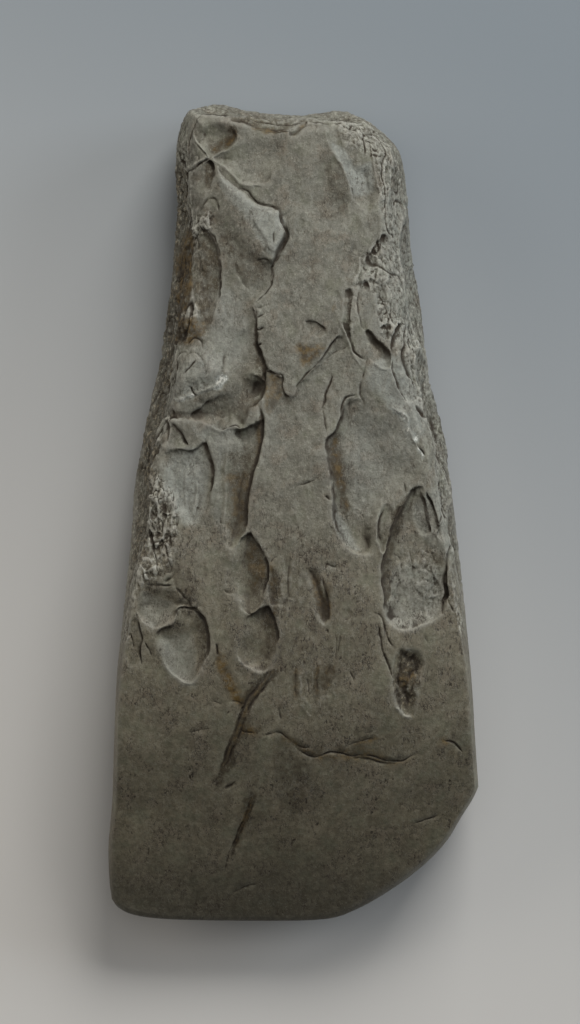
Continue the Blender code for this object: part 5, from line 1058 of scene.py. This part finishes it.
def stone_faces(rows, columns):
    """Faces of the two sheets that share the outline's points, and the inner grid points of the back."""
    index = np.arange((rows + 1) * (columns + 1)).reshape(rows + 1, columns + 1)
    quads = np.stack([index[:-1, :-1], index[1:, :-1], index[1:, 1:], index[:-1, 1:]], axis=-1)
    faces = quads.reshape(-1, 4).tolist()
    inner_rows = np.arange(BACK_SKIP, rows, BACK_SKIP)
    inner_columns = np.arange(BACK_SKIP, columns, BACK_SKIP)
    kept = index[np.ix_(inner_rows, inner_columns)].ravel()
    back = index.copy()
    back[np.ix_(inner_rows, inner_columns)] = index.size + np.arange(kept.size).reshape(
        len(inner_rows), len(inner_columns))

    def edge(row, column, row_step, column_step):
        """Points from one corner of a back cell up to the next, with the outline's own points between."""
        on_outline = row in (0, rows) and not row_step or column in (0, columns) and not column_step
        steps = range(BACK_SKIP if on_outline else 1)
        return [int(back[row + k * row_step, column + k * column_step]) for k in steps]

    for row in range(0, rows, BACK_SKIP):
        for column in range(0, columns, BACK_SKIP):
            low, far = row + BACK_SKIP, column + BACK_SKIP
            faces.append(edge(row, column, 0, 1) + edge(row, far, 1, 0)
                         + edge(low, far, 0, -1) + edge(low, column, -1, 0))
    return faces, kept


def vertex_normals(mesh):
    normals = np.empty(len(mesh.vertices) * 3, np.float32)
    mesh.vertex_normals.foreach_get("vector", normals)
    return normals.reshape(-1, 3).astype(float)


def blurred(field, reach):
    """A grid of values averaged over about reach cells each way."""
    offsets = np.arange(-2 * reach, 2 * reach + 1)
    weights = np.exp(-0.5 * (offsets / (0.8 * reach)) ** 2)
    weights /= weights.sum()
    for axis in (0, 1):
        padding = [(0, 0), (0, 0)]
        padding[axis] = (2 * reach, 2 * reach)
        padded = np.pad(field, padding, mode="edge")
        size = field.shape[axis]
        field = sum(w * np.take(padded, np.arange(k, k + size), axis=axis) for k, w in enumerate(weights))
    return field


def hollowness(points, normals, shape, reach):
    """How far each point of a grid lies below its surroundings, along the surface's normal."""
    around = np.stack([blurred(points[:, k].reshape(shape), reach).ravel() for k in range(3)], axis=1)
    return ((around - points) * normals).sum(axis=1).reshape(shape)


def ramp(values, start, span):
    """Rises from 0 at the start to 1 after the span."""
    return unit((values - start) / span)


def plan_slopes(height, x, y, shape):
    """Slopes of a height over the plan grid, toward the cutting edge and toward the right."""
    height, x, y = (values.reshape(shape) for values in (height, x, y))
    slopes = []
    for axis in (0, 1):
        step = np.hypot(np.gradient(x, axis=axis), np.gradient(y, axis=axis))
        slopes.append(np.gradient(height, axis=axis) / np.maximum(step, 0.01))
    return slopes


def scar_walls(relief, x, y, border, shape):
    """How much each grid point is part of a steep scar wall, and how far it faces the poll."""
    toward_edge, toward_right = plan_slopes(relief, x, y, shape)
    slope = np.hypot(toward_edge, toward_right)
    wall = ramp(border, *INNER_RAMP).reshape(shape) * ramp(slope, *WALL_RAMP)
    return wall, unit(toward_edge / np.maximum(slope, 0.01))


def places_mask(x, y, places):
    """The strongest of several outlined places at each point, keeping its sign."""
    x, y = warped(*warped(x, y))
    mask = np.zeros_like(x)
    for strength, outline in places:
        value = strength * patch_depth(x, y, outline)
        mask = np.where(np.abs(value) > np.abs(mask), value, mask)
    return mask


def how_rough(points, unground, border, x, y):
    """How rough each surface point is: the sides, the back and the drawn places of the face."""
    side = unit(SIDE_BAND - border / stations_curve(SIDE_REACH, points[:, 1]))
    rough = np.maximum(SIDE_ROUGHNESS * side * unground, 0.0)
    rough[:x.size] = np.maximum(rough[:x.size], places_mask(x, y, ROUGH_PLACES))
    rough[x.size:] = np.maximum(rough[x.size:], BACK_ROUGHNESS * unground[x.size:])
    return rough * (0.75 + 0.25 * noise(points, ROUGH_PATCHES, 11))


def fine_height(points, rough, unground, border):
    """Height of the grain, scoops, winding cracks and dents at each point, and those cracks' strength."""
    height, creases = np.zeros(len(points)), np.zeros(len(points))
    for seed, (size, rise) in enumerate(GRAINS):
        height += rise * (GROUND_GRAIN + (1 - GROUND_GRAIN) * unground) * noise(points, size, 12 + seed)
    scooped = np.maximum(rough, PLAIN_SCOOPS * unground) * unit(0.45 + border / 6.0)
    for seed, (size, rise) in enumerate(SCOOPS):
        height += scooped ** COARSENESS[seed] * rise * scoops(points * SCOOP_STRETCH, size, 51 + 5 * seed)
    gnarled = rough * np.where(points[:, 0] < 0, LEFT_GNARL, 1.0)
    for seed, (size, depth) in enumerate(WRINKLES):
        wrinkle = wrinkles(points * SCOOP_STRETCH, size, 71 + 3 * seed) * gnarled
        height -= depth * wrinkle
        creases = np.maximum(creases, wrinkle)
    hammered = np.flatnonzero(rough > LEAST_DENTED)
    for seed, (size, depth, share) in enumerate(DENTS):
        height[hammered] -= gnarled[hammered] * depth * dents(points[hammered], size, 21 + seed, share)
    return height, creases


def build_stone():
    """The fine stone as a mesh in millimetres, with its colour masks as attributes."""
    grid, outline = plan_grid()
    shape = grid.shape[:2]
    x, y = grid[..., 0].ravel(), grid[..., 1].ravel()
    on_grid = slice(x.size)
    face_border = border_distance(x, y, outline)
    on_outline = np.zeros(shape, bool)
    on_outline[[0, -1], :] = True
    on_outline[:, [0, -1]] = True
    face_border[on_outline.ravel()] = 0.0
    face, back, relief = heights(x, y, face_border)
    faces, kept = stone_faces(ROWS, COLUMNS)
    points = chipped(np.concatenate([
        np.stack([x, y, face], axis=1), np.stack([x[kept], y[kept], back[kept]], axis=1)]))
    mesh = bpy.data.meshes.new("stone_fine")
    mesh.from_pydata(points, [], faces)
    normals = vertex_normals(mesh)

    border = np.concatenate([face_border, face_border[kept]])
    unground = stations_curve(ROUGH_ALONG, points[:, 1])
    rough = how_rough(points, unground, border, x, y)
    height, creases = fine_height(points, rough, unground, border)
    cracks, dark = crack_depth(x, y)
    height[on_grid] -= cracks * unit(face_border / CRACK_FADE)
    points += normals * height[:, None]

    crevice, hollow = (hollowness(points[on_grid], normals[on_grid], shape, cells)
                       for cells in (CREVICE_CELLS, HOLLOW_CELLS))
    stained = unit(rough[on_grid]).reshape(shape)
    # Dirt and painted shade: pits and broad hollows get darker, and the winding cracks dark
    dirt_and_shade = 0.45 * ramp(crevice, *PIT_RAMP) * (1 + 0.4 * stained)
    dirt_and_shade += (0.15 + 0.6 * stained) * unit(hollow / HOLLOW_DEPTH)
    dirt_and_shade += 0.75 * creases[on_grid].reshape(shape)
    # Painted shade with some dirt on steep scar walls, full on those that turn away from the poll, where the
    # key light stands
    wall, faces_poll = scar_walls(relief, x, y, face_border, shape)
    dirt_and_shade += WALL_DIRT_AND_SHADE * wall * unit(1 - 1.6 * faces_poll)
    on_face = np.clip(face_border / SIDE_FADE, np.interp(y, POLL_END, OUTLINE_SHARES), 1.0)
    dirt_and_shade = unit(np.maximum(dirt_and_shade.ravel() * on_face, 0.95 * dark))
    # Pale: a painted highlight on steep walls that face the poll's key light, and wear on raised edges
    wear_and_highlight = unit(LIT_WALL_HIGHLIGHT * (wall * faces_poll) - crevice / WORN_HEIGHT).ravel() * on_face
    rust = places_mask(x, y, RUST_PLACES)
    for half_width, strength, run in RUST_LINES:
        rust = np.maximum(rust, strength * line_depth(x, y, half_width, run))

    def with_back(values, back_value=0.0):
        return np.concatenate([values, np.full(len(kept), back_value)])

    masks = {
        "crevice": with_back(dirt_and_shade, BACK_DIRT), "wear_and_highlight": with_back(wear_and_highlight), "rough": unit(rough),
        "ground": stations_curve(GROUND_ALONG, points[:, 1]), "rust": with_back(rust),
        "tint": with_back(places_mask(x, y, TINT_PLACES))}
    for name, values in masks.items():
        mesh.attributes.new(name, "FLOAT", "POINT").data.foreach_set("value", values.astype(np.float32))
    mesh.vertices.foreach_set("co", points.astype(np.float32).ravel())
    mesh.update()
    return mesh


def fit_to_solid(mesh):
    """Scales the mesh so that its box is the solid's box, in metres."""
    low, high = (np.array(corner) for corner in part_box("adze"))
    points = np.empty(len(mesh.vertices) * 3, np.float32)
    mesh.vertices.foreach_get("co", points)
    points = points.reshape(-1, 3).astype(float)
    points[:, 2] = np.maximum(points[:, 2], 0.0)
    own_low, own_high = points.min(axis=0), points.max(axis=0)
    placed = low + (points - own_low) * (high - low) / (own_high - own_low)
    mesh.vertices.foreach_set("co", placed.astype(np.float32).ravel())
    mesh.update()


def add_object(name, data):
    made = bpy.data.objects.new(name, data)
    bpy.context.scene.collection.objects.link(made)
    return made


def make_stone():
    """The stone's visible piece: the fine mesh, lightened where it is plain."""
    mesh = build_stone()
    stone = add_object("adze_stone", mesh)
    count = sum(len(polygon.vertices) - 2 for polygon in mesh.polygons)
    decimate = stone.modifiers.new("Fewer triangles", "DECIMATE")
    decimate.ratio = min(1.0, MOST_TRIANGLES / count)
    graph = bpy.context.evaluated_depsgraph_get()
    lighter = bpy.data.meshes.new_from_object(stone.evaluated_get(graph))
    stone.modifiers.clear()
    stone.data = lighter
    bpy.data.meshes.remove(mesh)
    fit_to_solid(lighter)
    lighter.shade_smooth()
    lighter.materials.clear()
    lighter.materials.append(stone_material())
    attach(stone, "root")
    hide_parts("adze")


class Nodes:
    """Short calls for building a material's node tree."""

    def __init__(self, tree):
        self.tree = tree

    def add(self, kind, inputs=(), **settings):
        made = self.tree.nodes.new(kind)
        for name, value in settings.items():
            setattr(made, name, value)
        for key, value in dict(inputs).items():
            self.feed(made.inputs[key], value)
        return made

    def feed(self, socket, value):
        if isinstance(value, bpy.types.NodeSocket):
            self.tree.links.new(value, socket)
        else:
            socket.default_value = value

    def attribute(self, name):
        return self.add("ShaderNodeAttribute", attribute_name=name).outputs["Fac"]

    def maths(self, operation, a, b=0.0, clamp=False):
        return self.add("ShaderNodeMath", {0: a, 1: b}, operation=operation, use_clamp=clamp).outputs[0]

    def times(self, a, b, clamp=False):
        return self.maths("MULTIPLY", a, b, clamp)

    def plus(self, a, b, clamp=False):
        return self.maths("ADD", a, b, clamp)

    def minus(self, a, b):
        return self.maths("SUBTRACT", a, b)

    def most(self, a, b):
        return self.maths("MAXIMUM", a, b)

    def mix(self, share, a, b, blend="MIX"):
        """A mix of two colours. One given in numbers is red, green and blue, or a single grey."""
        made = self.add("ShaderNodeMix", {"Factor": share}, data_type="RGBA", blend_type=blend)
        for socket, colour in ((made.inputs[6], a), (made.inputs[7], b)):
            if isinstance(colour, float):
                colour = (colour,) * 3
            self.feed(socket, (*colour, 1.0) if isinstance(colour, tuple) else colour)
        return made.outputs[2]

    def noise(self, place, scale, detail=3.0, roughness=0.6):
        inputs = {"Vector": place, "Scale": scale, "Detail": detail, "Roughness": roughness}
        return self.add("ShaderNodeTexNoise", inputs).outputs["Fac"]

    def fit(self, value, low, high, to_low=0.0, to_high=1.0):
        inputs = {0: value, 1: low, 2: high, 3: to_low, 4: to_high}
        return self.add("ShaderNodeMapRange", inputs, interpolation_type="SMOOTHSTEP").outputs[0]


def ground_colour(n, noises, ground, tint):
    """Olive-grey stone with clouds and blotches, darkened toward the cutting edge by painted shade, and the
    drawn tints, partly painted light and shade.
    """
    clouds, blotches, mottle, grains = (noises[name] for name in ("clouds", "blotches", "mottle", "grains"))
    butt = n.mix(n.fit(clouds, 0.35, 0.65), *BUTT_TONES)
    blade = n.mix(n.fit(clouds, 0.3, 0.7), *BLADE_TONES)
    colour = n.mix(ground, butt, blade)
    colour = n.mix(n.fit(blotches, 0.50, 0.66, 0.0, 0.5), colour, REDDISH_BLOTCH)
    colour = n.mix(n.fit(blotches, 0.48, 0.34, 0.0, 0.4), colour, GREENISH_BLOTCH)
    # Painted shade: darker toward the cutting edge, where the bevel turns away from the key light
    colour = n.mix(n.fit(ground, 1.0, 1.7, 0.0, 0.8), colour, BEVEL_PAINTED_SHADE)
    cool = n.most(tint, 0.0)
    brown = n.most(n.times(tint, -1.0), 0.0)
    brown = n.times(brown, n.fit(mottle, 0.36, 0.58, 0.35, 1.8), clamp=True)
    # Pale bluish tint: partly the stone's own tone, partly painted light on facets that face the lamps
    colour = n.mix(n.times(cool, 0.75, clamp=True), colour, PALE_TONE_AND_LIGHT)
    # Tints above 1: a near-white painted highlight, broken up by the grains
    colour = n.mix(n.times(n.fit(tint, 1.0, 1.6), n.fit(grains, 0.48, 0.58)), colour, PAINTED_HIGHLIGHT)
    # Brown tint: partly stain, partly painted shade in hollows and on walls turned from the light
    return n.mix(n.times(brown, 0.9), colour, BROWN_STAIN_AND_SHADE), brown


def stone_material():
    """Weathered argillite: matt olive-grey and speckled at the butt, darker and smoother on the blade."""
    material = bpy.data.materials.new("argillite_weathered")
    material.use_nodes = True
    tree = material.node_tree
    tree.nodes.clear()
    n = Nodes(tree)
    place = n.add("ShaderNodeTexCoord").outputs["Object"]
    crevice, wear_and_highlight, rough = n.attribute("crevice"), n.attribute("wear_and_highlight"), n.attribute("rough")
    ground, rust, tint = n.attribute("ground"), n.attribute("rust"), n.attribute("tint")

    clouds, blotches, mottle, dapple, grains, specks, crumbs = (n.noise(place, *settings) for settings in (
        CLOUD_NOISE, BLOTCH_NOISE, MOTTLE_NOISE, DAPPLE_NOISE, GRAIN_NOISE, SPECK_NOISE, CRUMB_NOISE))
    stretched = n.add(
        "ShaderNodeVectorMath", {0: place, 1: STREAK_STRETCH}, operation="MULTIPLY").outputs[0]
    streaks = n.noise(stretched, *STREAK_NOISE)
    veins = n.maths("ABSOLUTE", n.minus(n.noise(stretched, *VEIN_NOISE), 0.5))
    hairs = n.maths("ABSOLUTE", n.minus(n.noise(stretched, *HAIR_NOISE), 0.47))
    noises = {"clouds": clouds, "blotches": blotches, "mottle": mottle, "grains": grains}
    colour, brown = ground_colour(n, noises, ground, tint)

    # Speckles, grains, crusts on the rough parts, flecks and scratches
    speckle = n.mix(n.fit(mottle, 0.3, 0.7), *SPECKLE_TONES)
    colour = n.mix(n.plus(n.times(rough, 0.35), 0.5), colour, speckle, "MULTIPLY")
    dappling = n.mix(n.fit(dapple, 0.32, 0.68), *DAPPLE_TONES)
    colour = n.mix(n.fit(ground, 0.0, 1.0, 0.45, 0.6), colour, dappling, "MULTIPLY")
    light_grains = n.times(n.fit(grains, 0.55, 0.74), n.fit(ground, 0.0, 1.0, 0.36, 0.16))
    colour = n.mix(light_grains, colour, LIGHT_GRAIN)
    gritty = n.plus(n.fit(rough, 0.15, 0.8, 0.0, 0.62), n.times(tint, -0.8), clamp=True)
    crusts = n.times(n.fit(crumbs, 0.53, 0.62), n.times(rough, gritty))
    colour = n.mix(crusts, colour, n.mix(n.times(brown, 1.6, clamp=True), *CRUST_TONES))
    pocks = n.times(n.fit(crumbs, 0.48, 0.39), n.fit(rough, 0.15, 0.8, 0.0, 0.88))
    colour = n.mix(pocks, colour, POCK)
    dark_grains = n.times(n.fit(specks, 0.43, 0.30), n.fit(rough, 0.0, 1.0, 0.45, 0.75))
    colour = n.mix(dark_grains, colour, DARK_GRAIN)
    patches = n.fit(blotches, 0.42, 0.60, 0.12, 1.0)
    flecks = n.most(n.fit(streaks, 0.42, 0.32), n.times(n.fit(veins, 0.024, 0.005), 0.7))
    flecks = n.times(flecks, n.times(patches, n.fit(ground, 0.0, 0.5, 0.62, 1.15)))
    flecks = n.times(flecks, n.fit(brown, 0.0, 0.6, 1.0, 1.5), clamp=True)
    colour = n.mix(flecks, colour, FLECK)
    scratches = n.times(n.fit(hairs, 0.016, 0.003), n.fit(ground, 0.6, 1.4, 0.26, 0.08))
    colour = n.mix(scratches, colour, SCRATCH)

    # Wear with painted highlights, rust, and dirt with painted shade
    # A painted highlight on walls facing the key light, with wear on edges, kept off the brown and rust
    worn_and_lit = n.times(wear_and_highlight, n.plus(n.times(rough, 0.5), 0.16))
    worn_and_lit = n.times(worn_and_lit, n.fit(n.most(brown, rust), 0.1, 0.7, 1.0, 0.1))
    colour = n.mix(worn_and_lit, colour, WORN_AND_LIT)
    rust_share = n.times(rust, n.fit(dapple, 0.38, 0.54, 0.4, 1.05))
    colour = n.mix(rust_share, colour, n.mix(n.fit(mottle, 0.40, 0.62), *RUST_TONES))
    # Dirt with painted shade: darkens crevices, hollows and the scar walls turned from the key light
    dirt_and_shade = n.times(n.fit(crevice, 0.12, 0.85), n.fit(mottle, 0.25, 0.6, 0.75, 1.0))
    colour = n.mix(dirt_and_shade, colour, DIRT_AND_SHADE)

    roughness = n.fit(ground, 0.0, 1.0, 0.66, 0.50)
    roughness = n.plus(roughness, n.times(n.minus(mottle, 0.5), 0.25))
    roughness = n.plus(roughness, n.times(crevice, 0.2), clamp=True)
    fine = n.times(n.minus(grains, n.times(flecks, 0.5)), n.fit(ground, 0.0, 1.0, 1.0, 0.5))
    coarse = n.times(mottle, n.plus(n.times(rough, 1.2), 0.35))
    bump = n.add("ShaderNodeBump", {
        "Height": n.plus(fine, coarse), "Strength": BUMP_STRENGTH, "Distance": BUMP_DISTANCE})
    shader = n.add("ShaderNodeBsdfPrincipled", {
        "Base Color": colour, "Roughness": roughness, "Normal": bump.outputs[0], "Metallic": 0.0,
        "Specular IOR Level": 0.35})
    output = n.add("ShaderNodeOutputMaterial")
    tree.links.new(shader.outputs[0], output.inputs[0])
    return material


def make_floor():
    """A plain pale floor under the stone, darkened toward the upper right by painted shade."""
    bpy.ops.mesh.primitive_plane_add(size=FLOOR_SIZE, location=(0.0, 0.0, -FLOOR_DROP))
    floor = bpy.context.object
    floor.name = "floor"
    material = bpy.data.materials.new("pale_floor")
    material.use_nodes = True
    n = Nodes(material.node_tree)
    place = n.add("ShaderNodeSeparateXYZ", {0: n.add("ShaderNodeTexCoord").outputs["Object"]})
    # Painted shade: the floor's colour darkens toward the upper right
    along = n.minus(n.times(place.outputs[0], -0.5), place.outputs[1])
    colour = n.mix(n.fit(along, -0.15, 0.15), *FLOOR_SHADED_AND_LIT)
    inputs = material.node_tree.nodes["Principled BSDF"].inputs
    n.feed(inputs["Base Color"], colour)
    n.feed(inputs["Roughness"], 0.9)
    n.feed(inputs["Specular IOR Level"], 0.1)
    floor.data.materials.append(material)


def make_light(name, place, size, power, colour):
    light = bpy.data.lights.new(name, "AREA")
    light.shape = "SQUARE"
    light.size = size
    light.energy = power
    light.color = colour
    made = add_object(name, light)
    made.location = place
    toward = Vector((0.0, 0.0, 0.0)) - Vector(place)
    made.rotation_euler = toward.to_track_quat("-Z", "Y").to_euler()


def make_studio():
    """Soft light, mostly from beyond the poll and a little from the right, with a gentle fill all round."""
    for light in LIGHTS:
        make_light(*light)
    world = bpy.data.worlds.new("soft_room")
    world.use_nodes = True
    background = world.node_tree.nodes["Background"]
    background.inputs["Color"].default_value = ROOM_LIGHT
    background.inputs["Strength"].default_value = ROOM_STRENGTH
    bpy.context.scene.world = world
    bpy.context.scene.view_settings.view_transform = "Standard"


def make_camera():
    """Looks straight down on the lying adze, poll at the top, as the photograph looks at it standing."""
    camera = bpy.data.cameras.new("camera")
    camera.sensor_width = SENSOR_MM
    camera.lens = PIXELS_PER_MM / MM * CAMERA_DISTANCE / max(PHOTO_SIZE) * SENSOR_MM
    camera.clip_start, camera.clip_end = 0.05, 10.0
    made = add_object("camera", camera)
    off_centre = (ADZE_CENTRE_PIXEL[0] - PHOTO_SIZE[0] / 2) / PIXELS_PER_MM * MM
    made.location = (-off_centre, 0.0, FOCUS_HEIGHT + CAMERA_DISTANCE)
    bpy.context.scene.camera = made


make_camera()
make_stone()
make_floor()
make_studio()
